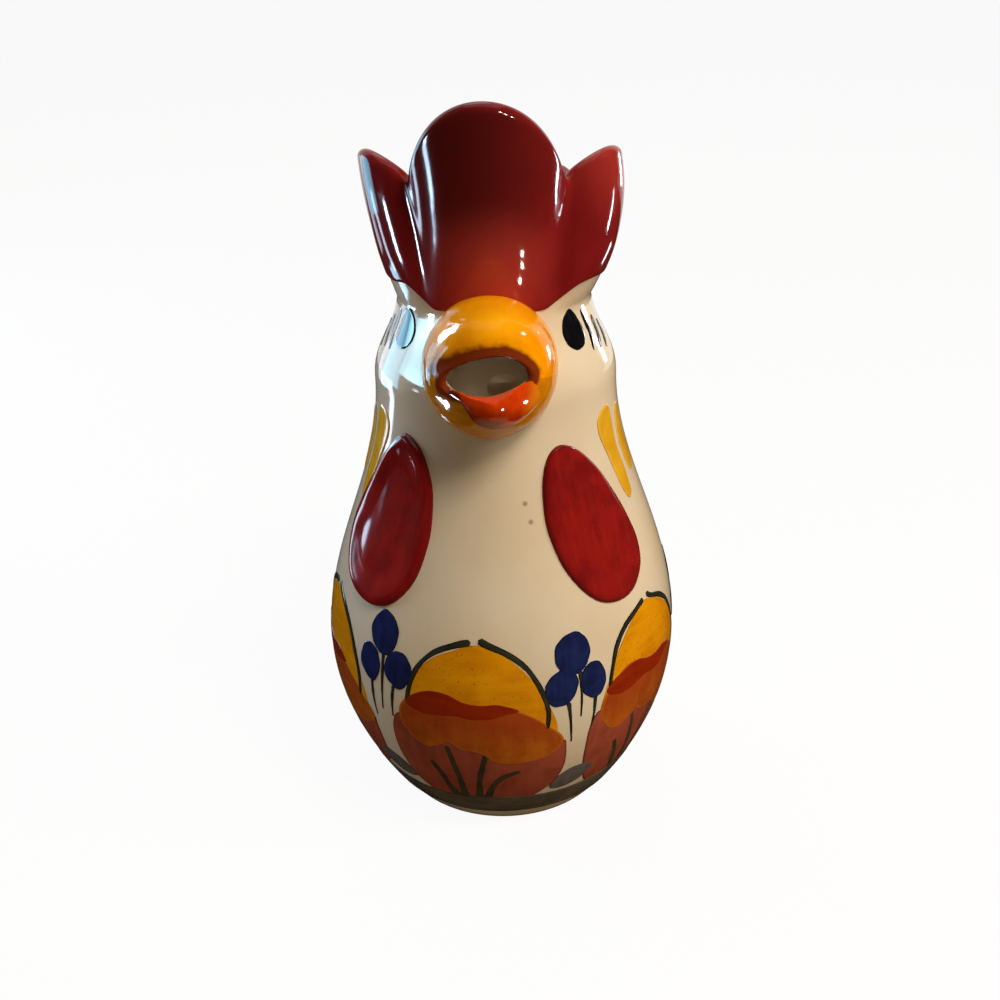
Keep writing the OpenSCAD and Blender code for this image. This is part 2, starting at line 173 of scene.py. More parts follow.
@dataclass
class HenForm:
    """Outer form of the pitcher, from which every piece takes its place."""

    # radii and heights of the body's widest and narrowest places
    foot_r: float = 37.2
    belly_r: float = 61.3
    belly_z: float = 62.0
    head_r: float = 39.2
    head_z: float = 158.0
    neck_r: float = 31.0
    neck_z: float = 184.0
    wall: float = 4.5
    full_share: float = 0.84
    # the comb: rises above the rim, outward leans, and angles of the creases between its lobes
    comb_wall: float = 4.2
    front_rise: float = 65.0
    front_lean: float = 15.5
    front_arch: float = 1.25
    front_curl: float = 1.4
    crease_rise: float = 39.5
    crease_lean: float = 2.0
    crease_top_a: float = 44.0
    crease_low_a: float = 37.0
    rear_crease_rise: float = 30.0
    rear_crease_a: float = 112.0
    side_rise: float = 11.5
    side_bulge: float = 8.5
    rear_rise: float = 6.0
    rear_bulge: float = 5.0
    notch_rise: float = 25.5
    left_swell: float = 0.9
    right_swell: float = 2.2
    tip_share: float = 0.75
    # how far the creases are softened, and the step of the comb's table, in degrees
    soft_rise_a: float = 1.3
    soft_lean_a: float = 2.6
    table_step: float = 0.5
    _table: dict = field(default_factory=dict, repr=False)

    def radius(self, z: np.ndarray) -> np.ndarray:
        """Give the body's outside radius at a height.

        Args:
            z: Heights.

        Returns:
            Radii in millimetres.
        """
        z = np.clip(np.asarray(z, dtype=float), 0, self.neck_z)
        turn = np.radians(90 * np.clip(z / self.belly_z, 0, 1))
        low = self.foot_r + (self.belly_r - self.foot_r) * np.abs(np.sin(turn)) ** self.full_share
        up = np.clip((z - self.belly_z) / (self.head_z - self.belly_z), 0, 1)
        middle = self.head_r + (self.belly_r - self.head_r) * (1 + np.cos(np.pi * up)) / 2
        top = np.clip((z - self.head_z) / (self.neck_z - self.head_z), 0, 1)
        high = self.neck_r + (self.head_r - self.neck_r) * (1 + np.cos(np.pi * top)) / 2
        return np.where(z < self.belly_z, low, np.where(z < self.head_z, middle, high))

    def wobble(self, phi: np.ndarray, z: np.ndarray) -> np.ndarray:
        """Give the small unevenness of a slip-cast wall that was sponged by hand.

        Args:
            phi: Angles from the beak.
            z: Heights.

        Returns:
            How far out the wall is moved.
        """
        a, z = np.radians(phi), np.asarray(z, dtype=float)
        fade = ease(z, 3, 25) * (1 - ease(z, 165, 184))
        return fade * ripple(a, (0.28, 2, 0.8 + z / 45), (0.18, 3, -z / 31), (0.12, 5, z / 19))

    def _comb_tables(self) -> dict:
        """Work out the comb's rise and lean over all angles once, with softened creases.

        Returns:
            The angles, the shares of the rise, and the rise and lean over them.
        """
        if self._table:
            return self._table
        step = self.table_step
        phi = np.arange(-180, 180, step)
        t = np.linspace(0, 1, 33)
        rise, lean = self._raw_comb(phi[:, None], t[None, :])
        self._table = {
            "phi": phi,
            "t": t,
            "rise": _soften(rise[:, -1:], self.soft_rise_a / step)[:, 0],
            "lean": _soften(lean, self.soft_lean_a / step),
        }
        return self._table

    def _raw_comb(self, phi: np.ndarray, t: np.ndarray) -> tuple[np.ndarray, np.ndarray]:
        """Give the pleated comb before its creases are softened.

        Args:
            phi: Angles from the beak.
            t: Share of the way from the rim to the top.

        Returns:
            Rise above the rim, and outward lean.
        """
        phi, t = np.broadcast_arrays(phi, t)
        a = np.abs(phi)
        front = self.crease_low_a + (self.crease_top_a - self.crease_low_a) * t
        v0 = np.clip(a / front, 0, 1)
        v1 = np.clip((a - front) / (self.rear_crease_a - front), 0, 1)
        v2 = np.clip((a - self.rear_crease_a) / (180 - self.rear_crease_a), 0, 1)
        crest = np.maximum(0, np.sin(np.pi * v1**self.tip_share))
        hump = np.sin(np.pi * v2) ** 2
        swell = np.where(phi < 0, self.left_swell, self.right_swell)
        arch = np.maximum(0, 1 - v0**2) ** self.front_arch
        rise0 = self.crease_rise + (self.front_rise - self.crease_rise) * arch
        fall = self.rear_crease_rise - self.crease_rise
        rise1 = self.crease_rise + fall * v1 + self.side_rise * crest
        notch = self.notch_rise - self.rear_crease_rise
        rise2 = self.rear_crease_rise + notch * v2 + self.rear_rise * hump
        front_lean = self.front_lean - self.crease_lean
        lean0 = self.crease_lean * t + front_lean * np.cos(np.pi / 2 * v0) * t**self.front_curl
        lean1 = self.crease_lean * (1 - v1) * t + self.side_bulge * crest * t * (1 + swell * (1 - t))
        lean2 = self.rear_bulge * hump * t
        pick = [a < front, a < self.rear_crease_a]
        return np.select(pick, [rise0, rise1], rise2), np.select(pick, [lean0, lean1], lean2)

    def comb_rise(self, phi: np.ndarray) -> np.ndarray:
        """Give the height of the comb's top above the rim."""
        table = self._comb_tables()
        return np.interp(wrap(phi), table["phi"], table["rise"], period=360)

    def comb_lean(self, phi: np.ndarray, t: np.ndarray) -> np.ndarray:
        """Give the comb's outward lean at an angle and a share of its rise.

        Args:
            phi: Angles from the beak.
            t: Share of the way from the rim to the top.

        Returns:
            How far outside the rim's radius the comb is.
        """
        table = self._comb_tables()
        phi, t = np.broadcast_arrays(wrap(phi), np.clip(np.asarray(t, dtype=float), 0, 1))
        x = (phi + 180) / self.table_step
        i = np.floor(x).astype(int)
        fx = x - i
        y = t * (len(table["t"]) - 1)
        j = np.minimum(np.floor(y).astype(int), len(table["t"]) - 2)
        fy = y - j
        grid, n = table["lean"], len(table["phi"])
        low = grid[i % n, j] * (1 - fx) + grid[(i + 1) % n, j] * fx
        high = grid[i % n, j + 1] * (1 - fx) + grid[(i + 1) % n, j + 1] * fx
        return low * (1 - fy) + high * fy

    def outer_radius(self, phi: np.ndarray, z: np.ndarray) -> np.ndarray:
        """Give the radius of the outside at any height, comb included.

        Args:
            phi: Angles from the beak.
            z: Heights.

        Returns:
            Radii in millimetres.
        """
        z = np.asarray(z, dtype=float)
        t = np.clip((z - self.neck_z) / self.comb_rise(phi), 0, 1)
        low = self.radius(z) + self.wobble(phi, z)
        return np.where(z < self.neck_z, low, self.neck_r + self.comb_lean(phi, t))

    def spot(self, phi: np.ndarray, z: np.ndarray, lift: np.ndarray) -> np.ndarray:
        """Place points on the body.

        Args:
            phi: Angles from the beak.
            z: Heights.
            lift: Distances out along the surface's normal.

        Returns:
            An array of points in millimetres.
        """
        phi, z, lift = np.broadcast_arrays(*(np.asarray(v, dtype=float) for v in (phi, z, lift)))
        slope = (self.radius(z + 0.25) - self.radius(z - 0.25)) / 0.5
        size = np.sqrt(1 + slope**2)
        r = self.outer_radius(phi, z) + lift / size
        return polar(phi, r, z - lift * slope / size)

    def lay(self, angle: float, x: np.ndarray, z: np.ndarray, lift: np.ndarray) -> np.ndarray:
        """Place points of a flat motif on the body, seen square on from one angle."""
        across = np.clip(np.asarray(x, float) / self.radius(z), -0.99, 0.99)
        return self.spot(angle + np.degrees(np.arcsin(across)), z, lift)

    def depth(self, p: np.ndarray) -> np.ndarray:
        """Tell how far points lie inside the outside surface, in millimetres."""
        return self.outer_radius(bearing(p), p[..., 2]) - np.hypot(p[..., 0], p[..., 1])


def wrap(phi: np.ndarray) -> np.ndarray:
    """Bring angles into -180 to 180."""
    return (np.asarray(phi, dtype=float) + 180) % 360 - 180


def _soften(grid: np.ndarray, sigma: float) -> np.ndarray:
    """Blur a table round the circle of angles.

    Args:
        grid: Table whose rows go round the circle.
        sigma: Width of the blur in rows.

    Returns:
        The blurred table.
    """
    reach = int(4 * sigma) + 1
    k = np.exp(-0.5 * (np.arange(-reach, reach + 1) / sigma) ** 2)
    k /= k.sum()
    return sum(w * np.roll(grid, s, axis=0) for w, s in zip(k, range(-reach, reach + 1)))


def polar(phi: np.ndarray, r: np.ndarray, z: np.ndarray) -> np.ndarray:
    """Turn angle, radius and height into points."""
    a = np.radians(phi)
    return np.stack(np.broadcast_arrays(r * np.sin(a), -r * np.cos(a), z), axis=-1)


FORM = HenForm()


# Bench: the operator calls and the two shapes that follow the body.


class Bench:
    """The operator calls that every piece is made with."""

    @staticmethod
    def clear() -> None:
        """Leave edit mode with nothing selected."""
        if bpy.context.mode != "OBJECT":
            bpy.ops.object.mode_set(mode="OBJECT")
        bpy.ops.object.select_all(action="DESELECT")

    @staticmethod
    def pick(obj: Mesh) -> None:
        """Select one object alone and make it active.

        Args:
            obj: The object.
        """
        Bench.clear()
        obj.select_set(True)
        bpy.context.view_layer.objects.active = obj

    @staticmethod
    def ball(name: str, around: int, along: int) -> Mesh:
        """Add a ball to be shaped.

        Args:
            name: Its name.
            around: Steps round its axis.
            along: Steps from pole to pole.

        Returns:
            The ball, of radius 1.
        """
        Bench.clear()
        bpy.ops.mesh.primitive_uv_sphere_add(segments=around, ring_count=along, radius=1)
        return Bench.named(name)

    @staticmethod
    def hoop(name: str, around: int, section: int) -> Mesh:
        """Add a hoop to be shaped.

        Args:
            name: Its name.
            around: Steps round the axis.
            section: Steps round its section.

        Returns:
            The hoop, with a section of radius 1.
        """
        Bench.clear()
        bpy.ops.mesh.primitive_torus_add(
            major_segments=around, minor_segments=section, major_radius=HOOP_R, minor_radius=1
        )
        return Bench.named(name)

    @staticmethod
    def named(name: str) -> Mesh:
        """Name the object that was just added.

        Args:
            name: Its name.

        Returns:
            The object.
        """
        obj = bpy.context.active_object
        obj.name = obj.data.name = name
        return obj

    @staticmethod
    def points(obj: Mesh) -> np.ndarray:
        """Read the vertices of a mesh.

        Args:
            obj: The mesh object.

        Returns:
            An array of places, one row each.
        """
        flat = np.empty(len(obj.data.vertices) * 3)
        obj.data.vertices.foreach_get("co", flat)
        return flat.reshape(-1, 3)

    @staticmethod
    def shape(obj: Mesh, places: np.ndarray) -> None:
        """Move the vertices of a mesh.

        Args:
            obj: The mesh object.
            places: New places in millimetres.
        """
        obj.data.vertices.foreach_set("co", (places * MM).ravel())
        obj.data.update()

    @staticmethod
    def note(obj: Mesh, **fields: np.ndarray) -> None:
        """Keep a value or a vector at each vertex, for the materials to read.

        Args:
            obj: The mesh object.
            fields: Values by the name that the materials read.
        """
        for name, values in fields.items():
            values = np.asarray(values, dtype=float)
            kind, key = ("FLOAT_VECTOR", "vector") if values.ndim == 2 else ("FLOAT", "value")
            attribute = obj.data.attributes.new(name, kind, "POINT")
            attribute.data.foreach_set(key, values.ravel())

    @staticmethod
    def turn_out(obj: Mesh) -> None:
        """Merge doubled vertices and turn every face outwards.

        Args:
            obj: The mesh object.
        """
        Bench.pick(obj)
        bpy.ops.object.mode_set(mode="EDIT")
        bpy.ops.mesh.select_all(action="SELECT")
        bpy.ops.mesh.remove_doubles(threshold=HAIR)
        bpy.ops.mesh.normals_make_consistent(inside=False)
        bpy.ops.object.mode_set(mode="OBJECT")

    @staticmethod
    def smooth(obj: Mesh, angle: float = PLAIN) -> None:
        """Shade smooth, but for edges sharper than an angle."""
        Bench.pick(obj)
        bpy.ops.object.shade_smooth_by_angle(angle=math.radians(angle))

    @staticmethod
    def close(obj: Mesh, angle: float = PLAIN) -> None:
        """Make the skin whole and shade it smooth, but for edges sharper than an angle."""
        Bench.turn_out(obj)
        Bench.smooth(obj, angle)

    @staticmethod
    def cut(obj: Mesh, cutter: Mesh) -> None:
        """Cut one mesh out of another and remove the cutter.

        Args:
            obj: The mesh that is cut.
            cutter: The mesh that is taken out of it.
        """
        Bench.pick(obj)
        modifier = obj.modifiers.new("cut", "BOOLEAN")
        modifier.operation, modifier.solver, modifier.object = "DIFFERENCE", "EXACT", cutter
        bpy.ops.object.modifier_apply(modifier=modifier.name)
        bpy.data.objects.remove(cutter, do_unlink=True)

    @staticmethod
    def join(parts: Sequence[Mesh], name: str) -> Mesh:
        """Join meshes into one named object.

        Args:
            parts: The meshes.
            name: Name of the whole.

        Returns:
            The joined object.
        """
        Bench.clear()
        for part in parts:
            part.select_set(True)
        bpy.context.view_layer.objects.active = parts[0]
        if len(parts) > 1:
            bpy.ops.object.join()
        parts[0].name = parts[0].data.name = name
        return parts[0]


def place(obj: Mesh, slot: str, finish: bpy.types.Material, *nodes: str) -> None:
    """Dress a finished piece and set it in the frame.

    Args:
        obj: The piece.
        slot: Name of a material slot; not used.
        finish: Its material.
        nodes: CAD nodes that it stands for.
    """
    obj.data.materials.clear()
    obj.data.materials.append(finish)
    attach(obj, "root")
    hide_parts(*nodes)
    LOG.info("%s: %d faces for %s", obj.name, len(obj.data.polygons), ", ".join(nodes))


@dataclass
class Pad:
    """A raised pad of glaze or clay, closed all round, that follows the body.

    It is thick at its edge once past the brow, rises by the crown to its middle, and sinks by the
    dish inside the rim. The tone makes its brushwork and its wavering its own.
    """

    angle: float
    outline: Points
    thick: float = 0.2
    crown: float = 0.0
    centre: tuple[float, float] | None = None
    tone: float = 0.0
    waver: float = 0.15
    rim: float = 0.0
    dish: float = 0.0
    brow: float = 0.0
    under: float = 0.35
    under_edge: float = 0.1

    def build(self, name: str, around: int = 96, along: int = 28) -> Mesh:
        """Shape a ball into the pad.

        Args:
            name: Name of the object.
            around: Steps round the outline.
            along: Steps from the middle of the front to the middle of the back.

        Returns:
            The pad as an object.
        """
        obj = Bench.ball(name, around, along)
        down, turn = ball_grid(Bench.points(obj))
        edge = smooth_line(self.outline, True, OUTLINE_STEPS)
        middle = np.array(self.centre) if self.centre else edge.mean(axis=0)
        beat = np.arange(len(edge)) / len(edge) * 2 * np.pi
        seed = self.angle + 10 * self.tone
        shake = 1 + self.waver / 20 * ripple(beat, (1.0, 5, seed), (0.7, 9, 2 * seed))
        edge = middle + (edge - middle) * shake[:, None]
        spoke = read_round(edge, (np.degrees(turn) % 360) / 360) - middle
        front = down < 0.5 - HAIR
        u = np.clip(np.where(front, down / (0.5 - 1 / along), (1 - down) / 0.5), 0, 1)
        u = np.where(front, u * (1 - 1 / along), u)
        share = 1 - (1 - u) ** 2
        flat = middle + spoke * share[:, None]
        inset = (1 - share) * np.linalg.norm(spoke, axis=1)
        back = np.where(down > 0.5 + HAIR, -self.under, -self.under_edge)
        lift = np.where(front, self._relief(inset, share), back)
        Bench.shape(obj, FORM.lay(self.angle, flat[:, 0], flat[:, 1], lift))
        plan = np.column_stack([flat, np.full(len(flat), 40 * self.tone + self.angle)])
        Bench.note(obj, plan=plan, inset=inset)
        return obj

    def _relief(self, inset: np.ndarray, share: np.ndarray) -> np.ndarray:
        """Give the pad's height, from how far a place is inside the outline.

        Args:
            inset: Distance inside the outline.
            share: Share of the way from the middle to it.

        Returns:
            Height over the body.
        """
        over = self.brow or max(self.thick * 1.2, 0.15)
        bowl = self.dish * ease(inset, self.rim * 0.5, self.rim * 2.4) if self.dish else 0
        return self.thick * rounded(inset, over) + self.crown * (1 - share**2) - bowl


@dataclass
class Stroke:
    """One stroke of a loaded brush, closed all round, that follows the body.

    Its width is at the brush's full load. Its ends and its belly are shares of that.
    """

    angle: float
    path: Points
    width: float
    heavy_end: float = 1.0
    light_end: float = 0.5
    thick: float = 0.22
    belly: float = 0.0
    tone: float = 0.0
    bunch: float = 0.35
    under: float = 0.3

    def build(self, name: str, around: int = 20, along: int = 44) -> Mesh:
        """Shape a ball into the stroke.

        Args:
            name: Name of the object.
            around: Steps round the stroke's section.
            along: Steps along it.

        Returns:
            The stroke as an object.
        """
        obj = Bench.ball(name, around, along)
        down, turn = ball_grid(Bench.points(obj))
        line = smooth_line(self.path, False, PATH_STEPS)
        way = np.gradient(line, axis=0)
        way /= np.linalg.norm(way, axis=1)[:, None]
        length = np.linalg.norm(np.diff(line, axis=0), axis=1).sum()
        t = (1 - np.cos(np.pi * down)) / 2 * self.bunch + down * (1 - self.bunch)
        index = t * (len(line) - 1)
        at = read_at(line, np.arange(len(line)), index)
        side = read_at(way[:, ::-1], np.arange(len(line)), index) * [-1, 1]
        load = self.heavy_end + (self.light_end - self.heavy_end) * t + self.belly * np.sin(np.pi * t)
        load *= 1 + ripple(t, (0.1, 9, 7 * self.tone + self.angle), (0.06, 21, self.angle))
        ends = np.minimum(1, np.minimum(t, 1 - t) * length / (self.width * 0.6))
        half = self.width / 2 * load * np.sqrt(1 - (1 - ends) ** 2)
        flat = at + side * (half * np.cos(turn))[:, None]
        upper = self.thick * np.abs(np.sin(turn)) ** 0.5
        lift = np.where(np.sin(turn) > 0, upper, self.under * np.sin(turn))
        Bench.shape(obj, FORM.lay(self.angle, flat[:, 0], flat[:, 1], lift))
        plan = np.column_stack([np.cos(turn) * half, t * length, 0 * t + 40 * self.tone + self.angle])
        Bench.note(obj, plan=plan, inset=half * (1 - np.abs(np.cos(turn))))
        return obj


# Finishes: one small class for each kind of glaze, and one value for each colour of enamel.


def colour(code: str) -> tuple[float, float, float, float]:
    """Turn an sRGB hex colour into a linear one.

    Args:
        code: The colour as #rrggbb.

    Returns:
        Red, green, blue and a full alpha.
    """
    values = [int(code[i : i + 2], 16) / 255 for i in (1, 3, 5)]
    linear = [v / 12.92 if v <= 0.04045 else ((v + 0.055) / 1.055) ** 2.4 for v in values]
    return (*linear, 1.0)


def add_node(
    tree: bpy.types.NodeTree, kind: str, inputs: dict | None = None, **settings: object
) -> bpy.types.Node:
    """Add a node to a tree.

    Args:
        tree: The node tree.
        kind: The node's type.
        inputs: Values or sockets for its inputs, by name or number.
        settings: The node's own settings.

    Returns:
        The new node.
    """
    node = tree.nodes.new(kind)
    for key, value in settings.items():
        setattr(node, key, value)
    for key, value in (inputs or {}).items():
        if isinstance(value, bpy.types.NodeSocket):
            tree.links.new(value, node.inputs[key])
        else:
            node.inputs[key].default_value = value
    return node


class Brew:
    """A material's node tree while colours are laid on it, one over the other."""

    def __init__(self, name: str, body: str = "#ffffff", reads: Sequence[str] = ()) -> None:
        """Start a material with its plain colour.

        Args:
            name: Name of the material.
            body: Its first colour.
            reads: Values kept at the vertices that it reads.
        """
        self.material = bpy.data.materials.new(name)
        self.material.use_nodes = True
        self.tree = self.material.node_tree
        self.tree.nodes.clear()
        self.space = add_node(self.tree, "ShaderNodeTexCoord").outputs["Object"]
        self.kept = {
            key: add_node(self.tree, "ShaderNodeAttribute", attribute_name=key).outputs for key in reads
        }
        self.tint: object = colour(body)

    def grain(
        self, size: float, stretch: Spot = (1, 1, 1), detail: float = 3.0, plan: Socket | None = None
    ) -> Socket:
        """Give a noise at its real size.

        Args:
            size: Size of a patch in millimetres.
            stretch: How many times finer it is along each axis.
            detail: Levels of finer noise in it.
            plan: A motif's own plan, in millimetres, where the noise follows that and not space.

        Returns:
            The noise, about 0.5 in the middle.
        """
        step = 1 / (size * MM) if plan is None else 1 / size
        source = self.space if plan is None else plan
        scaled = {"Vector": source, "Scale": tuple(s * step for s in stretch)}
        spread = add_node(self.tree, "ShaderNodeMapping", scaled).outputs[0]
        settings = {"Vector": spread, "Scale": 1.0, "Detail": detail}
        return add_node(self.tree, "ShaderNodeTexNoise", settings).outputs["Fac"]

    def lay(self, code: str, value: object, low: float, high: float, top: object = 1.0) -> None:
        """Lay one more colour over those before it.

        Args:
            code: The colour.
            value: The pattern that it follows, or a constant.
            low: Where in the pattern it starts. Above high, it shows low in the pattern and not high.
            high: Where in the pattern it covers most.
            top: How much it covers there.
        """
        reach = {"Value": value, "From Min": low, "From Max": high, "To Min": 0.0, "To Max": top}
        share = add_node(self.tree, "ShaderNodeMapRange", reach, interpolation_type="SMOOTHSTEP")
        mix = {0: share.outputs[0], 6: self.tint, 7: colour(code)}
        self.tint = add_node(self.tree, "ShaderNodeMix", mix, data_type="RGBA").outputs[2]

    def spot(self, code: str, place: Spot, radius: float, soft: float, top: float) -> None:
        """Lay a colour round one place.

        Args:
            code: The colour.
            place: The place, in millimetres.
            radius: How far the colour reaches, in millimetres.
            soft: Share of the radius over which it fades.
            top: How much it covers in the middle.
        """
        ends = {0: self.space, 1: tuple(s * MM for s in place)}
        away = add_node(self.tree, "ShaderNodeVectorMath", ends, operation="DISTANCE")
        self.lay(code, away.outputs["Value"], radius * (1 + soft) * MM, radius * (1 - soft) * MM, top)

    def uneven(self, value: Socket, size: float, swing: float) -> Socket:
        """Make a value's edge wander as a brush's does.

        Args:
            value: The value.
            size: Size of the wandering in millimetres.
            swing: How far it goes, in the value's own measure.

        Returns:
            The value with noise added.
        """
        terms = {0: self.grain(size), 1: swing, 2: value}
        return add_node(self.tree, "ShaderNodeMath", terms, operation="MULTIPLY_ADD").outputs[0]

    def fire(
        self, rough: float, specular: float, height: Socket | None = None, relief: float = 0.0
    ) -> bpy.types.Material:
        """Close the tree with its surface.

        Args:
            rough: Roughness.
            specular: How strongly it mirrors, where 0.5 is plain glass.
            height: What the fine relief follows.
            relief: How high that relief is, in millimetres.

        Returns:
            The material.
        """
        inputs = {"Base Color": self.tint, "Roughness": rough, "Specular IOR Level": specular}
        inputs["IOR"] = GLASS_IOR
        if height is not None:
            fine = {"Height": height, "Distance": relief * MM, "Strength": 1.0}
            inputs["Normal"] = add_node(self.tree, "ShaderNodeBump", fine).outputs[0]
        shader = add_node(self.tree, "ShaderNodeBsdfPrincipled", inputs)
        add_node(self.tree, "ShaderNodeOutputMaterial", {"Surface": shader.outputs[0]})
        return self.material


@dataclass(frozen=True)
class WhiteGlaze:
    """Tin-white glaze on earthenware, fired glossy: warm white, with painted shade that darkens it a
    little low down.
    """

    name: str = "tin_white_glaze_earthenware"
    body: str = "#eaddc4"
    warm: str = "#dfcaa8"
    cloud: float = 38.0
    cloud_share: float = 0.5
    # painted shade: a darker beige, laid more strongly the lower the glaze is, from 120 mm down to 5 mm
    painted_low_shade: str = "#d2bb98"
    painted_low_shade_top: float = 120.0
    painted_low_shade_bottom: float = 5.0
    painted_low_shade_share: float = 0.15
    pit: str = "#8a745c"
    pit_r: float = 0.75
    pit_share: float = 0.7
    pits: tuple[Spot, ...] = ((10.2, -42.4, 129.3), (12.0, -43.7, 123.6))
    rough: float = 0.09
    specular: float = 0.5
    ripple: float = 9.0
    ripple_high: float = 0.05

    def material(self) -> bpy.types.Material:
        """Lay clouds of warmer glaze, the painted shade low down and the pits.

        Returns:
            The material.
        """
        b = Brew(self.name, self.body)
        b.lay(self.warm, b.grain(self.cloud), 0.35, 0.65, self.cloud_share)
        height = add_node(b.tree, "ShaderNodeSeparateXYZ", {0: b.space}).outputs[2]
        # painted shade, darker towards the bottom
        b.lay(self.painted_low_shade, height, self.painted_low_shade_top * MM, self.painted_low_shade_bottom * MM, self.painted_low_shade_share)
        for pit in self.pits:
            b.spot(self.pit, pit, self.pit_r, 0.5, self.pit_share)
        return b.fire(self.rough, self.specular, b.grain(self.ripple, detail=1), self.ripple_high)


@dataclass(frozen=True)
class Biscuit:
    """Unglazed biscuit earthenware where the foot stands in the kiln: matt, pale tan, grainy."""

    name: str = "biscuit_earthenware_foot"
    body: str = "#cdb491"
    grog: str = "#b59a78"
    grog_size: float = 0.8
    tooth: float = 0.5
    tooth_high: float = 0.06
    rough: float = 0.85
    specular: float = 0.3

    def material(self) -> bpy.types.Material:
        """Lay the grog in the clay.

        Returns:
            The material.
        """
        b = Brew(self.name, self.body)
        b.lay(self.grog, b.grain(self.grog_size), 0.45, 0.62)
        return b.fire(self.rough, self.specular, b.grain(self.tooth), self.tooth_high)


@dataclass(frozen=True)
class Enamel:
    """Brushed majolica colour under a clear glossy glaze: it pools, streaks and specks.

    Sizes are in millimetres. The real grit is finer than the render shows, so flecks are drawn
    about three times too coarse.
    """

    name: str
    body: str
    deep: str
    thin: str
    edge: str
    fleck: str
    blotch: float = 9.0
    blotch_share: float = 0.8
    streak: float = 1.6
    streak_share: float = 0.4
    streak_way: Spot = (1.0, 0.12, 1.0)
    edge_width: float = 0.7
    edge_share: float = 0.5
    fleck_size: float = 0.9
    fleck_share: float = 0.4
    rough: float = 0.1
    specular: float = 0.35
    plan: bool = True
    fade: str = ""
    fade_low: float = 0.0
    fade_high: float = 1.0
    fade_share: float = 0.8
    ripple: float = 7.0
    ripple_high: float = 0.04

    def brush(self, *reads: str) -> Brew:
        """Lay blotches, then brush streaks, a fade, the pooled edge and flecks.

        Args:
            reads: Further values kept at the vertices that the finish reads.

        Returns:
            The material, still open.
        """
        b = Brew(self.name, self.body, (("plan", "inset") if self.plan else ()) + reads)
        plan = b.kept["plan"]["Vector"] if self.plan else None
        b.lay(self.deep, b.grain(self.blotch), 0.36, 0.64, self.blotch_share)
        b.lay(self.thin, b.grain(self.streak, self.streak_way, 2, plan), 0.42, 0.72, self.streak_share)
        if self.fade:
            height = add_node(b.tree, "ShaderNodeSeparateXYZ", {0: plan}).outputs[1]
            b.lay(self.fade, b.uneven(height, 7, 6.0), self.fade_low, self.fade_high, self.fade_share)
        if self.plan and self.edge_share:
            b.lay(self.edge, b.kept["inset"]["Fac"], self.edge_width, 0.1, self.edge_share)
        b.lay(self.fleck, b.grain(self.fleck_size, detail=1), 0.66, 0.74, self.fleck_share)
        return b

    def material(self) -> bpy.types.Material:
        """Fire the brushed colour as it is.

        Returns:
            The material.
        """
        b = self.brush()
        return b.fire(self.rough, self.specular, b.grain(self.ripple, detail=1), self.ripple_high)


@dataclass(frozen=True)
class CombRed(Enamel):
    """Oxblood enamel of the comb, white inside, with painted shade high on the front lobe and painted
    light low on it and on the right lobe.
    """

    inside: str = "#e6d8c6"
    # painted shade high on the front lobe, then painted light low on the front lobe and on the right
    # lobe: colour, place, radius, softness, strength
    painted_shade_and_light: tuple[tuple[str, Spot, float, float, float], ...] = (
        ("#5e1a18", (-9, -44, 230), 24, 0.75, 0.85),
        ("#c4463a", (0, -33, 199), 14, 0.8, 0.7),
        ("#c4463a", (38, -15, 230), 14, 0.8, 0.35),
    )
    ripple: float = 8.0
    ripple_high: float = 0.05

    def material(self) -> bpy.types.Material:
        """Lay the painted shade high on the front lobe and the two places of painted light, then the
        white inside.

        Returns:
            The material.
        """
        b = self.brush("inner")
        for spot in self.painted_shade_and_light:
            b.spot(*spot)
        b.lay(self.inside, b.uneven(b.kept["inner"]["Fac"], 7, 6.0), 16.0, 17.0)
        return b.fire(self.rough, self.specular, b.grain(self.ripple, detail=1), self.ripple_high)


@dataclass(frozen=True)
class BeakGlaze(Enamel):
    """Honey enamel of the beak, browned round the mouth, partly as pooled glaze and partly as painted
    shade under the bulb.
    """

    brown: str = "#7c3010"
    # laid where the bright value is high: on the upper beak, painted light on the top of the bulb
    bright: str = "#ffb010"
    ochre: str = "#bc7a12"
    # painted light: a whiter white than the body's glaze, so the hollow inside the mouth looks lit
    inside: str = "#f4f1e8"
    ripple: float = 4.0
    ripple_high: float = 0.17

    def material(self) -> bpy.types.Material:
        """Lay ochre mottling, the bright places (painted light on the upper beak's bulb), the browned
        places (partly painted shade) and the white inside, which is painted light.

        Returns:
            The material.
        """
        b = self.brush("ochre", "bright", "brown", "inner")
        b.lay(self.ochre, b.grain(2.6, detail=4), 0.3, 0.6, b.kept["ochre"]["Fac"])
        b.lay(self.bright, 1.0, 0.0, 1.0, b.kept["bright"]["Fac"])
        b.lay(self.brown, b.uneven(b.kept["brown"]["Fac"], 3, 0.9), 0.7, 1.4)
        b.lay(self.inside, 1.0, 0.0, 1.0, b.kept["inner"]["Fac"])
        return b.fire(self.rough, self.specular, b.grain(self.ripple, detail=2), self.ripple_high)


GLAZED_WHITE = WhiteGlaze()
BISCUIT = Biscuit()
# Brushed oxblood: a deep wine red, with painted shade that turns it nearly black high on the front
# lobe.
COMB = CombRed(
    "oxblood_brushed_enamel_comb", "#861b1d", "#7c191b", "#a62c28", "#5a1214", "#4a0d10",
    blotch=22, streak=4, streak_share=0.15, streak_way=(1, 1, 0.3), fleck_share=0.12, specular=0.28,
    plan=False,
)
# The same oxblood brushed thinner: a livelier red, darker at the pooled rim.
WATTLE = Enamel(
    "oxblood_brushed_enamel_wattle", "#931a18", "#781415", "#a4281f", "#5e1014", "#4d0c0f",
    blotch=9, streak_share=0.25, fleck_share=0.25, edge_width=1.6, specular=0.28,
)
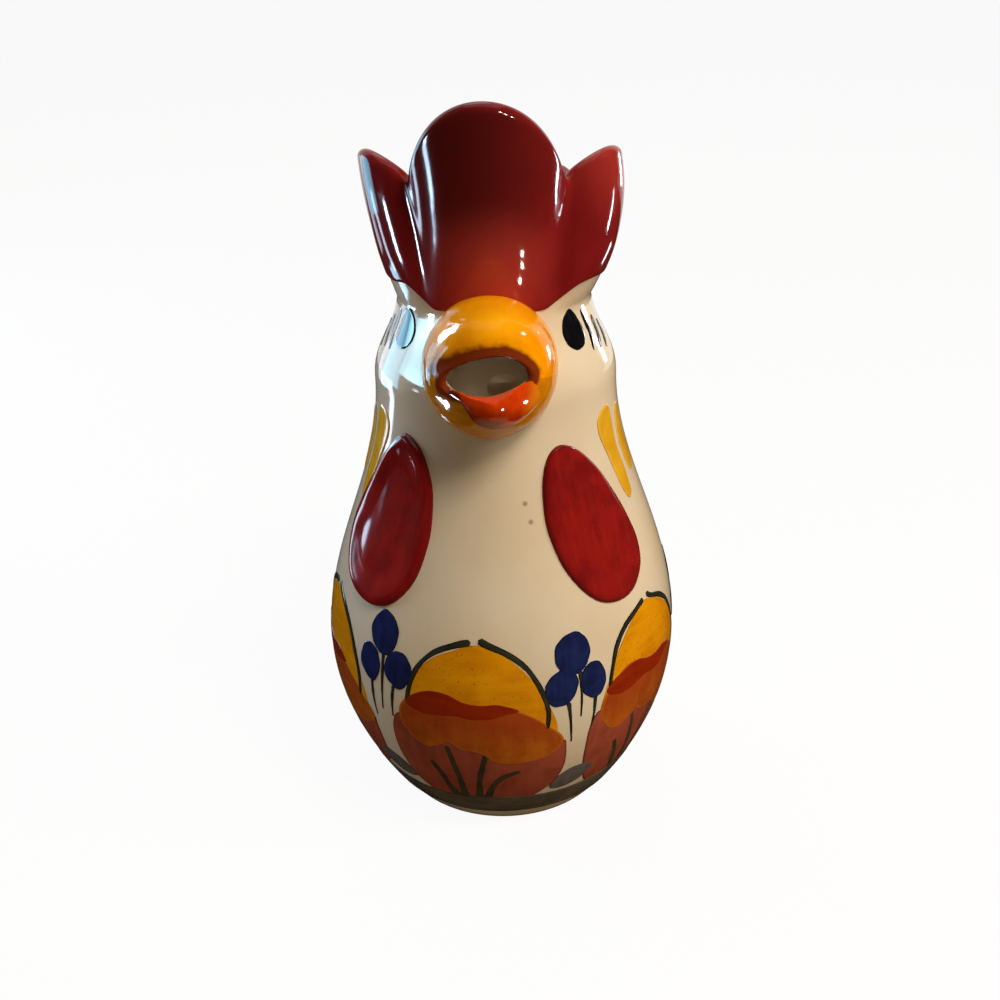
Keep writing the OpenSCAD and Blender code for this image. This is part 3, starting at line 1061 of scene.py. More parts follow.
# Honey enamel: a warm yellow that looks soft and wet.
BEAK_UPPER = BeakGlaze(
    "honey_enamel_upper_beak", "#fca202", "#f09002", "#ffae08", "#c8720c", "#b4560e",
    blotch=7, streak=1.5, edge_share=0, fleck_share=0.15, specular=0.13,
)
# Ochre over honey: earthier and more mottled than the upper beak.
BEAK_LOWER = BeakGlaze(
    "ochre_enamel_lower_beak", "#e08c06", "#cc7a06", "#e89c14", "#a8660e", "#8f4d10",
    blotch=5, streak=1.1, edge_share=0, fleck_share=0.4, specular=0.12,
)
# Vermilion laid thick: the hottest colour of the face.
LIP = BeakGlaze(
    "vermilion_enamel_lower_lip", "#dc4208", "#c43606", "#ea6208", "#b0500c", "#a02c08",
    blotch=5, streak_share=0.2, edge_share=0.6, edge_width=1.2, fleck_share=0.15, specular=0.2,
    brown="#7a240a", bright="#e88e14",
)
# Yellow enamel, a paler ridge where the brush let go of it at the edge.
FEATHER = Enamel(
    "yellow_brushed_enamel_feather", "#f0b82a", "#dea31a", "#f8c23c", "#f0c468", "#c8780e",
    streak=2.2, edge_width=1.3, edge_share=0.75, specular=0.3,
)
# Black enamel: the sharpest mirror on the pitcher.
EYE = Enamel(
    "black_brushed_enamel_eye", "#121316", "#0b0c10", "#202329", "#08090b", "#05060a",
    streak=1.0, fleck_share=0.1, specular=0.45, rough=0.07,
)
# Amber enamel, specked by iron from the clay.
YELLOW = Enamel(
    "amber_brushed_enamel_blossom", "#e89a04", "#d48403", "#f0ac0e", "#b8780e", "#a84a10",
    blotch=12, streak=2.5, streak_way=(0.15, 1, 1), fleck_size=0.8, fleck_share=0.8, edge_width=0.6,
    specular=0.3,
)
# Thin orange wash: the yellow glows through, and it reddens towards its top.
WASH = Enamel(
    "orange_brushed_wash_blossom", "#bc6018", "#a44a14", "#cc7820", "#c47a22", "#7a280e",
    blotch=8, streak=3.4, streak_way=(1, 0.2, 1), fleck_size=0.8, fleck_share=0.5, edge_width=1.4,
    edge_share=0.6, specular=0.3, fade="#a43e18", fade_low=50, fade_high=64, fade_share=0.75,
)
# Red-orange laid twice: a dense, darker fold in the petals.
FOLD = Enamel(
    "red_orange_brushed_fold_blossom", "#962a08", "#882407", "#a43810", "#7c2408", "#6e1e08",
    blotch=8, streak=3, streak_way=(0.2, 1, 1), fleck_share=0.3, specular=0.3,
)
# Red-brown enamel: a dusty brown with a darker rim.
CUP = Enamel(
    "red_brown_brushed_cup_blossom", "#a8513a", "#92432f", "#b66046", "#66281e", "#58201a",
    blotch=10, streak=3, fleck_share=0.2, edge_width=0.9, edge_share=0.7, specular=0.25,
)
# Green-black line: nearly black, drawn with a loaded pointed brush.
LINE = Enamel(
    "green_black_brushed_line", "#34352a", "#24261e", "#4a4a3a", "#14150e", "#14140e",
    streak=0.5, streak_way=(1, 0.1, 1), fleck_share=0.1, edge_width=0.45, edge_share=0.9, specular=0.3,
)
# Olive line over the cup: it sinks in and looks softer than the outlines.
GRASS = Enamel(
    "olive_brushed_line_cup", "#4a4430", "#3a3526", "#5a503c", "#3e2c20", "#2e281c",
    streak=0.6, streak_way=(1, 0.1, 1), fleck_share=0.1, edge_width=0.6, edge_share=0.6, specular=0.2,
)
# Cobalt enamel: a deep blue, lighter where the brush was dry.
BERRY = Enamel(
    "cobalt_brushed_enamel_berry", "#1e2a5c", "#161e48", "#2a3670", "#12163a", "#10132e",
    blotch=5, streak=1.6, streak_share=0.25, edge_width=0.7, fleck_share=0.15, specular=0.3,
)
# Slate enamel: a muted grey, without much depth.
LEAF = Enamel(
    "slate_brushed_enamel_leaf", "#6c6460", "#5a5452", "#7c746c", "#444240", "#3e3c3e",
    blotch=4, streak=1.2, edge_width=0.5, fleck_share=0.1, specular=0.25,
)
# Olive-black band: streaked along the turn of the wheel.
BAND = Enamel(
    "olive_black_brushed_band", "#6a6252", "#544c40", "#7a705c", "#363428", "#322f28",
    blotch=12, streak=2.0, streak_way=(0.1, 1, 1), edge_width=0.8, fleck_share=0.1, specular=0.25,
)


# Body and foot ring.


@dataclass
class Body:
    """The slip-cast body with its floor, mouth opening and foot ring."""

    ring_w: float = 7.0
    ring_h: float = 3.0
    floor_t: float = 5.0
    glaze_low: float = 1.1
    steps: int = 192
    top_z: float = 195.0
    # the handle's hollow root: place, size and depth
    root_z: float = 146.0
    root_r: float = 8.0
    root_arm: float = 34.0
    root_deep: float = 3.2
    # the hole from the beak into the head, in the beak's own frame
    hole_size: Spot = (5.2, 3.9, 18.0)
    hole_middle: Spot = (4.2, -5.6, 2.0)

    def build(self) -> None:
        """Make the body and the foot ring and set them in the frame."""
        body = self._turn("body_shell_glazed", self._profile(), self.steps)
        self._settle(body)
        self._open_mouth(body)
        Bench.smooth(body, CRISP)
        place(body, "white_glaze", GLAZED_WHITE.material(), "body_shell")
        ring = self._turn("foot_ring_biscuit", self._ring_profile(), self.steps)
        Bench.smooth(ring, CRISP)
        place(ring, "foot_biscuit", BISCUIT.material(), "foot_ring")

    def _profile(self) -> list[tuple[float, float]]:
        """Give the half section, from the middle underneath, up the outside and down the inside.

        Returns:
            Radius and height of each point.
        """
        inner = FORM.foot_r - self.ring_w
        under = [(0.0, self.ring_h), (inner - 1.5, self.ring_h)]
        under += [(inner - 0.4, self.ring_h - 0.5), (inner, self.glaze_low)]
        foot = [(FORM.foot_r - 0.6, self.glaze_low - 0.1), (FORM.foot_r - 0.1, self.glaze_low + 0.3)]
        heights = [*np.linspace(2.2, FORM.neck_z, 92), *np.linspace(FORM.neck_z, self.top_z, 9)[1:]]
        outside = [(float(FORM.radius(z)), float(z)) for z in heights]
        floor_z = self.ring_h + self.floor_t
        inside = [(r - FORM.wall, z) for r, z in reversed(outside) if z > floor_z + 3]
        low_r = inside[-1][0]
        floor = [(low_r - 1.2, floor_z + 1.2), (low_r - 4, floor_z), (0.0, floor_z)]
        return under + foot + outside + inside + floor

    def _ring_profile(self) -> list[tuple[float, float]]:
        """Give the section of the unglazed ring, a closed loop.

        Returns:
            Radius and height of each point.
        """
        low, high = FORM.foot_r - self.ring_w + 0.5, FORM.foot_r - 0.5
        top = self.glaze_low + 0.6
        start = (low + 0.4, 0.0)
        return [start, (high - 0.5, 0.0), (high, 0.35), (high, top), (low, top), (low, 0.3), start]

    def _turn(self, name: str, profile: Sequence[tuple[float, float]], steps: int) -> Mesh:
        """Draw a half section by extruding a vertex, and spin it round the axis.

        Args:
            name: Name of the object.
            profile: Radius and height of each point.
            steps: Steps of the turn.

        Returns:
            The turned mesh.
        """
        Bench.clear()
        bpy.ops.mesh.primitive_plane_add(size=MM)
        obj = Bench.named(name)
        bpy.ops.object.mode_set(mode="EDIT")
        bpy.ops.mesh.select_all(action="SELECT")
        bpy.ops.mesh.merge(type="CENTER")
        first = profile[0]
        bpy.ops.transform.translate(value=(first[0] * MM, 0, first[1] * MM))
        for a, b in zip(profile, profile[1:]):
            step = ((b[0] - a[0]) * MM, 0, (b[1] - a[1]) * MM)
            bpy.ops.mesh.extrude_region_move(TRANSFORM_OT_translate={"value": step})
        bpy.ops.mesh.select_all(action="SELECT")
        bpy.ops.mesh.spin(steps=steps, angle=2 * math.pi, center=(0, 0, 0), axis=(0, 0, 1))
        bpy.ops.object.mode_set(mode="OBJECT")
        Bench.turn_out(obj)
        return obj

    def _settle(self, body: Mesh) -> None:
        """Give the turned body its unevenness, its seat for the comb and the handle's hollow root.

        Args:
            body: The turned body.
        """
        p = Bench.points(body) / MM
        phi, r, z = bearing(p), np.hypot(p[:, 0], p[:, 1]), p[:, 2]
        plain = FORM.radius(z)
        outer = r > plain - 1.0
        inner = (np.abs(r - plain + FORM.wall) < 0.6) & (z > 10)
        moved = np.where(outer | inner, FORM.wobble(phi, z), 0)
        seat = np.where(z > FORM.neck_z, FORM.outer_radius(phi, z) - FORM.neck_r, 0)
        seat += ease(z, FORM.neck_z - 2, FORM.neck_z + 1) * np.where(outer, -0.3, 0)
        away = np.hypot(np.radians(wrap(phi - 180)) * self.root_arm, (z - self.root_z) * 0.9)
        root = np.where(inner, self.root_deep * (1 - ease(away, self.root_r * 0.55, self.root_r)), 0)
        new = r + moved + np.where(outer | inner, seat, 0) + root
        Bench.shape(body, polar(phi, np.where(r < 0.01, r, new), z))

    def _open_mouth(self, body: Mesh) -> None:
        """Cut the way from the hollow beak into the head.

        Args:
            body: The body.
        """
        cutter = Bench.ball("mouth_cutter", 64, 24)
        hole = Bench.points(cutter) * self.hole_size + self.hole_middle
        Bench.shape(cutter, BEAK.place(*hole.T))
        Bench.turn_out(cutter)
        Bench.cut(body, cutter)


# Comb.


@dataclass
class Comb:
    """The pleated comb round the filling mouth."""

    around: int = 480
    section: int = 76
    proud: float = 0.28
    low_side_z: float = 192.8
    low_front_z: float = 186.0
    # shares of the way round the wall's section where its outside, lip and inside end
    outside_from: float = 0.02
    outside_to: float = 0.44
    lip_to: float = 0.58
    inside_to: float = 0.96
    seat_from: float = 0.965
    seat_in: float = 1.2

    def build(self) -> None:
        """Make the comb and set it in the frame."""
        obj = Bench.hoop("comb_glazed", self.around, self.section)
        phi, turn = hoop_grid(Bench.points(obj))
        s = np.rint(((np.degrees(turn) + 90) % 360) / 360 * self.section) % self.section / self.section
        places, inner = self._section(phi, s)
        Bench.shape(obj, places)
        Bench.note(obj, inner=inner)
        Bench.close(obj, SOFT)
        place(
            obj, "comb_red", COMB.material(),
            "comb_front", "comb_side_left", "comb_side_right", "comb_rear_left", "comb_rear_right",
        )

    def low_edge(self, phi: np.ndarray) -> np.ndarray:
        """Give the height where the red ends on the outside, as brushed by hand.

        Args:
            phi: Angles from the beak.

        Returns:
            Heights in millimetres.
        """
        a = np.abs(wrap(phi))
        low = self.low_front_z + (self.low_side_z - self.low_front_z) * ease(a, 30, 52)
        return low + ripple(np.radians(phi), (0.35, 7, 0.0), (0.25, 13, math.radians(40)))

    def _section(self, phi: np.ndarray, s: np.ndarray) -> tuple[np.ndarray, np.ndarray]:
        """Run round the section of the comb's wall.

        Args:
            phi: Angle of each point.
            s: Share of the way round the section, from the red's lower edge outside.

        Returns:
            The points, and how far inside and below the lip each one is.
        """
        rise = FORM.comb_rise(phi)
        lip = FORM.comb_wall / 2
        top = FORM.neck_z + rise - lip
        low = self.low_edge(phi)
        ends = (self.outside_from, self.outside_to, self.lip_to, self.inside_to)
        up, turn, down = (np.clip((s - a) / (b - a), 0, 1) for a, b in zip(ends, ends[1:]))
        z_out = low + (top - low) * up
        z_in = top + (FORM.neck_z - 1.5 - top) * down
        over = np.pi * turn
        outer = s < self.outside_to
        lipped = (s >= self.outside_to) & (s <= self.lip_to)
        z = np.select([outer, lipped], [z_out, top + lip * np.sin(over)], z_in)
        t = np.clip((np.where(lipped, top, z) - FORM.neck_z) / (rise - lip), 0, 1)
        skin = np.where(z < FORM.neck_z, FORM.radius(z), FORM.neck_r + FORM.comb_lean(phi, t))
        proud = self.proud * ease(z - low, 0, 0.5) * (1 - ease(t, 0.3, 0.6))
        r = np.select(
            [outer, lipped],
            [skin + np.where(s < 0.01, -0.4, proud), skin - lip + lip * np.cos(over)],
            skin - FORM.comb_wall,
        )
        r = np.where(s > self.seat_from, FORM.neck_r - FORM.comb_wall + self.seat_in, r)
        inner = np.where(s > 0.5, top + lip - z, 0)
        return polar(phi, r, z), inner


# Beak and lip.


@dataclass
class Beak:
    """The hollow beak, with a bulb above the mouth, thick corners and a rolled lower lip."""

    r: float = 20.4
    z: float = 170.0
    root: float = 30.0
    length: float = 29.6
    tilt: float = 16.0
    wall: float = 4.0
    thinned: float = 1.3
    around: int = 200
    section: int = 96
    mouth: Points = (
        (12.9, -0.8), (11.6, 1.7), (8.1, 3.9), (3.7, 4.6), (-3.1, 3.6), (-8.3, 1.9), (-11.7, -0.2),
        (-12.6, -2.9), (-10.5, -4.9), (-7.0, -6.1), (-0.5, -6.8), (5.4, -5.8), (10.5, -3.7),
        (12.3, -2.5),
    )
    mouth_middle: tuple[float, float] = (0.0, -1.4)
    lip: Points = (
        (12.6, -2.2), (15.3, -3.5), (16.3, -5.7), (15.1, -8.5), (12.3, -11.4), (8.6, -14.1),
        (4.1, -15.4), (0.3, -15.3), (-3.4, -13.5), (-5.3, -10.8), (-6.9, -8.0), (-10.5, -5.3),
        (-9.8, -4.2), (-6.4, -5.3), (-0.4, -5.8), (4.8, -5.0), (9.7, -3.0),
    )
    lip_middle: tuple[float, float] = (4.0, -9.0)
    tall: float = 1.066
    drop: float = -0.3
    parting: float = -1.6
    fullness: float = 2.4
    root_reach: tuple[float, float] = (-14.0, 6.0)
    root_sunk: float = 2.4
    root_steps: int = 30
    dome_steps: int = 120
    # shares of the way round the wall's section where its outside, lip and inside end
    outside_to: float = 0.46
    lip_to: float = 0.58
    inside_to: float = 0.96
    # relief at the corners and under the chin, browned places (partly painted shade), painted light on
    # the bulb, and the lip's bulge
    corner: Patch = Patch(1.0, 16.2, 2.6, -2.4, 5.5)
    chin: Patch = Patch(-0.5, 3.0, 11.0, -17.4, 1.6)
    mouth_dark_patches: tuple[Patch, ...] = (Patch(0.5, -12, 3.5, -7, 3.5), Patch(0.32, -16, 4, 6, 7))
    mouth_corner_dark: Patch = Patch(0.5, 13.6, 2.4, -2, 3.5)
    bulb_painted_light: Patch = Patch(0.9, 2, 10, 13.5, 4.6)
    pout: Patch = Patch(2.4, 3.2, 9.5, -9.0, 4.2)

    def place(self, x: np.ndarray, y: np.ndarray, w: np.ndarray) -> np.ndarray:
        """Turn places in the beak's own frame, w along its axis, into the pitcher's frame.

        Args:
            x: Places across.
            y: Places up.
            w: Distances out along the axis.

        Returns:
            An array of points in millimetres.
        """
        s, c = math.sin(math.radians(self.tilt)), math.cos(math.radians(self.tilt))
        x, y, w = np.broadcast_arrays(x, y, w)
        y = y * self.tall + self.drop
        return np.stack([x, -self.root - w * c + y * s, self.z + w * s + y * c], axis=-1)

    def dome(self, rho: np.ndarray) -> np.ndarray:
        """Give how far out the plain round of the beak is, at a distance from its axis."""
        rest = np.maximum(0, 1 - (np.minimum(rho, self.r) / self.r) ** 2)
        return self.length * rest ** (1 / self.fullness)

    def from_mouth(self, x: np.ndarray, y: np.ndarray) -> np.ndarray:
        """Give how far a place is outside the mouth's edge, seen along the beak's axis.

        Args:
            x: Places across.
            y: Places up.

        Returns:
            Distances in millimetres.
        """
        edge = smooth_line(self.mouth, True, 160)
        flat = np.column_stack([np.ravel(x), np.ravel(y)])
        gap = np.sqrt(((flat[:, None, :] - edge[None]) ** 2).sum(-1)).min(1)
        return gap.reshape(np.shape(x))

    def swell(self, x: np.ndarray, y: np.ndarray) -> np.ndarray:
        """Give the modelled relief over the plain round.

        Args:
            x: Places across.
            y: Places up.

        Returns:
            How far the surface is moved out.
        """
        gap = self.from_mouth(x, y)
        above = ease(y, -1.5, 3.0)
        bulb = 2.5 * above * bell(gap, 7.6, 4.0) * bell(x, 0.0, 12.0)
        hollow = -1.5 * above * (1 - ease(gap, 1.0, 5.0)) * bell(x, 0.0, 14.0)
        return bulb + hollow + self.corner.over(np.abs(x), y) + self.chin.over(x, y)

    def build(self) -> None:
        """Make the upper and lower beak and the lip and set them in the frame."""
        whole = Bench.hoop("beak_upper_glazed", self.around, self.section)
        self._shape(whole)
        lower = whole.copy()
        lower.data = whole.data.copy()
        lower.name = lower.data.name = "beak_lower_glazed"
        bpy.context.scene.collection.objects.link(lower)
        for obj, keep in ((whole, 1), (lower, -1)):
            self._halve(obj, keep)
        place(whole, "beak_yellow", BEAK_UPPER.material(), "beak_upper")
        place(lower, "beak_ochre", BEAK_LOWER.material(), "beak_lower")
        self._build_lip()

    def _shape(self, obj: Mesh) -> None:
        """Shape a hoop into the whole hollow beak.

        Args:
            obj: The hoop.
        """
        p = Bench.points(obj)
        turn = np.degrees(ball_grid(p)[1]) % 360
        s = ((np.degrees(hoop_grid(p)[1]) + 90) % 360) / 360
        mouth = smooth_line(self.mouth, True, 2000)
        aim = np.degrees(np.arctan2(mouth[:, 1] - self.mouth_middle[1], mouth[:, 0])) % 360
        order = np.argsort(aim)
        local = np.zeros((len(p), 3))
        for theta in np.unique(np.round(turn, 4)):
            rows = np.abs(turn - theta) < 1e-3
            edge = np.array([np.interp(theta, aim[order], mouth[order, k], period=360) for k in (0, 1)])
            local[rows] = self._spoke(math.radians(theta), edge, s[rows])
        x, y, w = local.T
        Bench.shape(obj, self.place(x, y, w))
        gap = self.from_mouth(x, y)
        # browned round the mouth: painted shade under the bulb's overhang and in the mouth's rim, a
        # darker join at the root, and dark patches by the corners and on the left
        reach = 1.2 - 0.05 * x
        brown = 0.95 * ease(y, -2.0, 2.0) * (1 - ease(gap, reach, reach + 4.5))
        brown += 0.7 * (1 - ease(gap, 0.8, 2.6)) + 0.4 * (1 - ease(w, 0.3, 2.6))
        brown += self.mouth_corner_dark.over(np.abs(x), y)
        brown += sum(dark_patch.over(x, y) for dark_patch in self.mouth_dark_patches)
        ochre = 0.85 * ease(-(0.6 * x + 0.8 * y), -2.0, 10.0)
        # bright: painted light on the top of the bulb, where light from above falls
        Bench.note(
            obj, brown=np.clip(brown, 0, 1.2), bright=self.bulb_painted_light.over(x, y), ochre=ochre, plan=local,
            inset=np.full(len(x), 9.0), inner=ease(s, 0.53, self.lip_to),
        )
        Bench.turn_out(obj)

    def _spoke(self, a: float, edge: np.ndarray, s: np.ndarray) -> np.ndarray:
        """Give the section of the beak's wall at one angle round its axis.

        Args:
            a: The angle, in radians.
            edge: The mouth's edge at that angle.
            s: Share of the way round the section of each point.

        Returns:
            Places in the beak's own frame.
        """
        way = np.array([math.cos(a), math.sin(a)])
        back = np.linspace(*self.root_reach, 200)
        clear = FORM.depth(self.place(self.r * way[0], self.r * way[1], back)) < self.root_sunk
        start = back[np.argmax(clear)] if np.any(clear) else self.root_reach[1]
        u = np.linspace(0, 1, self.dome_steps)
        lipped = edge + 1.2 * (edge - self.mouth_middle) / np.linalg.norm(edge - self.mouth_middle)
        n = self.root_steps
        base = np.column_stack([np.tile(self.r * way, (n, 1)), np.linspace(start, 0, n)])
        fan = np.sin(u * np.pi / 2)[:, None]
        flat = (1 - fan) * (self.r * way) + fan * lipped
        over = np.column_stack([flat, self.dome(np.linalg.norm(flat, axis=1))])
        plain = np.vstack([base[:-1], over])
        along = np.gradient(plain, axis=0)
        along /= np.maximum(np.linalg.norm(along, axis=1)[:, None], 1e-9)
        radial = np.column_stack([np.tile(way, (len(plain), 1)), np.zeros(len(plain))])
        normal = radial - (radial * along).sum(1)[:, None] * along
        normal /= np.maximum(np.linalg.norm(normal, axis=1)[:, None], 1e-9)
        steps = np.concatenate([np.zeros(n - 1), u])
        shell = plain - normal * (self.wall - self.thinned * ease(steps, 0.55, 1.0))[:, None]
        x, y, w = plain.T
        line = plain + normal * (self.swell(x, y) * ease(w, 0, 8))[:, None]
        outer = _even(line, np.clip(s / self.outside_to, 0, 1))
        inner = _even(shell[::-1], np.clip((s - self.lip_to) / (self.inside_to - self.lip_to), 0, 1))
        lip_from, lip_to = line[-1], shell[-1]
        half = np.pi * np.clip((s - self.outside_to) / (self.lip_to - self.outside_to), 0, 1)[:, None]
        middle = (lip_from + lip_to) / 2
        arm = lip_from - middle
        out = along[-1] * np.linalg.norm(arm)
        lip = middle + arm * np.cos(half) + out * np.sin(half)
        shut = np.clip((s - self.inside_to) / (1 - self.inside_to), 0, 1)[:, None]
        close = shell[0] + (line[0] - shell[0]) * shut
        pick = [s <= self.outside_to, s < self.lip_to, s < self.inside_to]
        return np.select([rows[:, None] for rows in pick], [outer, lip, inner], close)

    def _halve(self, obj: Mesh, keep: int) -> None:
        """Cut the beak at its parting and keep the upper or the lower part.

        Args:
            obj: The whole beak.
            keep: 1 for the upper part, -1 for the lower one.
        """
        Bench.pick(obj)
        a = math.radians(self.tilt)
        bpy.ops.object.mode_set(mode="EDIT")
        bpy.ops.mesh.select_all(action="SELECT")
        bpy.ops.mesh.bisect(
            plane_co=tuple(self.place(0.0, self.parting, 0.0) * MM),
            plane_no=(0, math.sin(a), math.cos(a)),
            use_fill=True, clear_inner=keep > 0, clear_outer=keep < 0,
        )
        bpy.ops.object.mode_set(mode="OBJECT")
        Bench.smooth(obj, SOFT)

    def _build_lip(self) -> None:
        """Lay the rolled lower lip along the mouth's lower edge."""
        obj = Bench.ball("beak_lip_glazed", 120, 40)
        down, turn = ball_grid(Bench.points(obj))
        middle = np.array(self.lip_middle)
        edge = smooth_line(self.lip, True, OUTLINE_STEPS)
        spoke = read_round(edge, (np.degrees(turn) % 360) / 360) - middle
        front = down < 0.5
        u = np.where(front, down, 1 - down) * 2
        share = 1 - (1 - u) ** 1.6
        flat = middle + spoke * share[:, None]
        inset = (1 - share) * np.linalg.norm(spoke, axis=1)
        x, y = flat.T
        top = 0.2 + self.pout.over(x, y)
        brow = (1 - (1 - np.clip(inset / 2.6, 0, 1)) ** 2) ** 0.85
        lift = np.where(front, top * brow, -1.2 * np.minimum(1, (1 - share) * 6))
        rho = np.linalg.norm(flat, axis=1)
        w = self.dome(rho) + self.swell(x, y) + lift
        Bench.shape(obj, self.place(x * (1 + 0.01 * lift), y * (1 + 0.03 * lift), w))
        low_left = ease(-(0.45 * x + y), 8.0, 13.5)
        brown = np.clip(0.85 * low_left + 0.8 * (1 - ease(x, -8.5, -5.0)), 0, 1.1)
        bright = 0.85 * ease(x - 0.25 * y, 11.5, 16.5)
        plan = np.column_stack([flat, lift])
        Bench.note(obj, brown=brown, bright=bright, ochre=0 * x, inset=inset, inner=0 * x, plan=plan)
        Bench.close(obj, SOFT)
        place(obj, "lip_orange", LIP.material(), "beak_lip")


def _even(line: np.ndarray, t: np.ndarray) -> np.ndarray:
    """Read a line at even shares of its length."""
    steps = strides(line)
    return read_at(line, steps, t * steps[-1])


BEAK = Beak()


# Handle.


@dataclass
class Handle:
    """The ring handle behind the head, its ends luted to the comb and to the back."""

    ring_r: float = 32.0
    r: float = 9.5
    y: float = 39.0
    z: float = 168.0
    low_a: float = -32.0
    high_a: float = 212.0
    flare: float = 2.2
    sunk: float = 1.4
    around: int = 64
    along: int = 120

    def build(self) -> None:
        """Make the handle and set it in the frame."""
        obj = Bench.ball("handle_glazed", self.around, self.along)
        down, turn = ball_grid(Bench.points(obj))
        t = np.clip((down * self.along - 1) / (self.along - 2), 0, 1)
        start, end = self._ends(turn)
        a = start + (end - start) * t
        r = self._thick(a) * np.where((down < 0.001) | (down > 0.999), 0, 1)
        Bench.shape(obj, self._tube(a, r, turn))
        Bench.close(obj, SOFT)
        place(obj, "white_glaze", bpy.data.materials[GLAZED_WHITE.name], "handle")

    def _thick(self, a: np.ndarray) -> np.ndarray:
        """Give the handle's section radius, flared where it is luted on."""
        return self.r + self.flare * (bell(a, 208, 16) + 0.6 * bell(a, -22, 14))

    def _tube(self, a: np.ndarray, r: np.ndarray, turn: np.ndarray) -> np.ndarray:
        """Place points round the handle's run.

        Args:
            a: Angles along the ring, from its top.
            r: Radii of the section.
            turn: Angles round the section, in radians.

        Returns:
            An array of points in millimetres.
        """
        reach, a = self.ring_r + r * np.cos(turn), np.radians(a)
        return np.stack([r * np.sin(turn), self.y + reach * np.sin(a), self.z + reach * np.cos(a)], -1)

    def _ends(self, turn: np.ndarray) -> tuple[np.ndarray, np.ndarray]:
        """Find where each line along the handle reaches just inside the wall, at both ends.

        Args:
            turn: Angle of each line round the section, in radians.

        Returns:
            Angles along the ring of the lower and the upper end of each line.
        """
        found = []
        for far, near in ((self.low_a - 10, 40.0), (self.high_a + 12, 140.0)):
            low, high = np.full(len(turn), far), np.full(len(turn), near)
            for _ in range(30):
                mid = (low + high) / 2
                deep = FORM.depth(self._tube(mid, self._thick(mid), turn)) > self.sunk
                low, high = np.where(deep, mid, low), np.where(deep, high, mid)
            found.append(low)
        return found[0], found[1]


# Wattles, feathers, eyes and lashes.


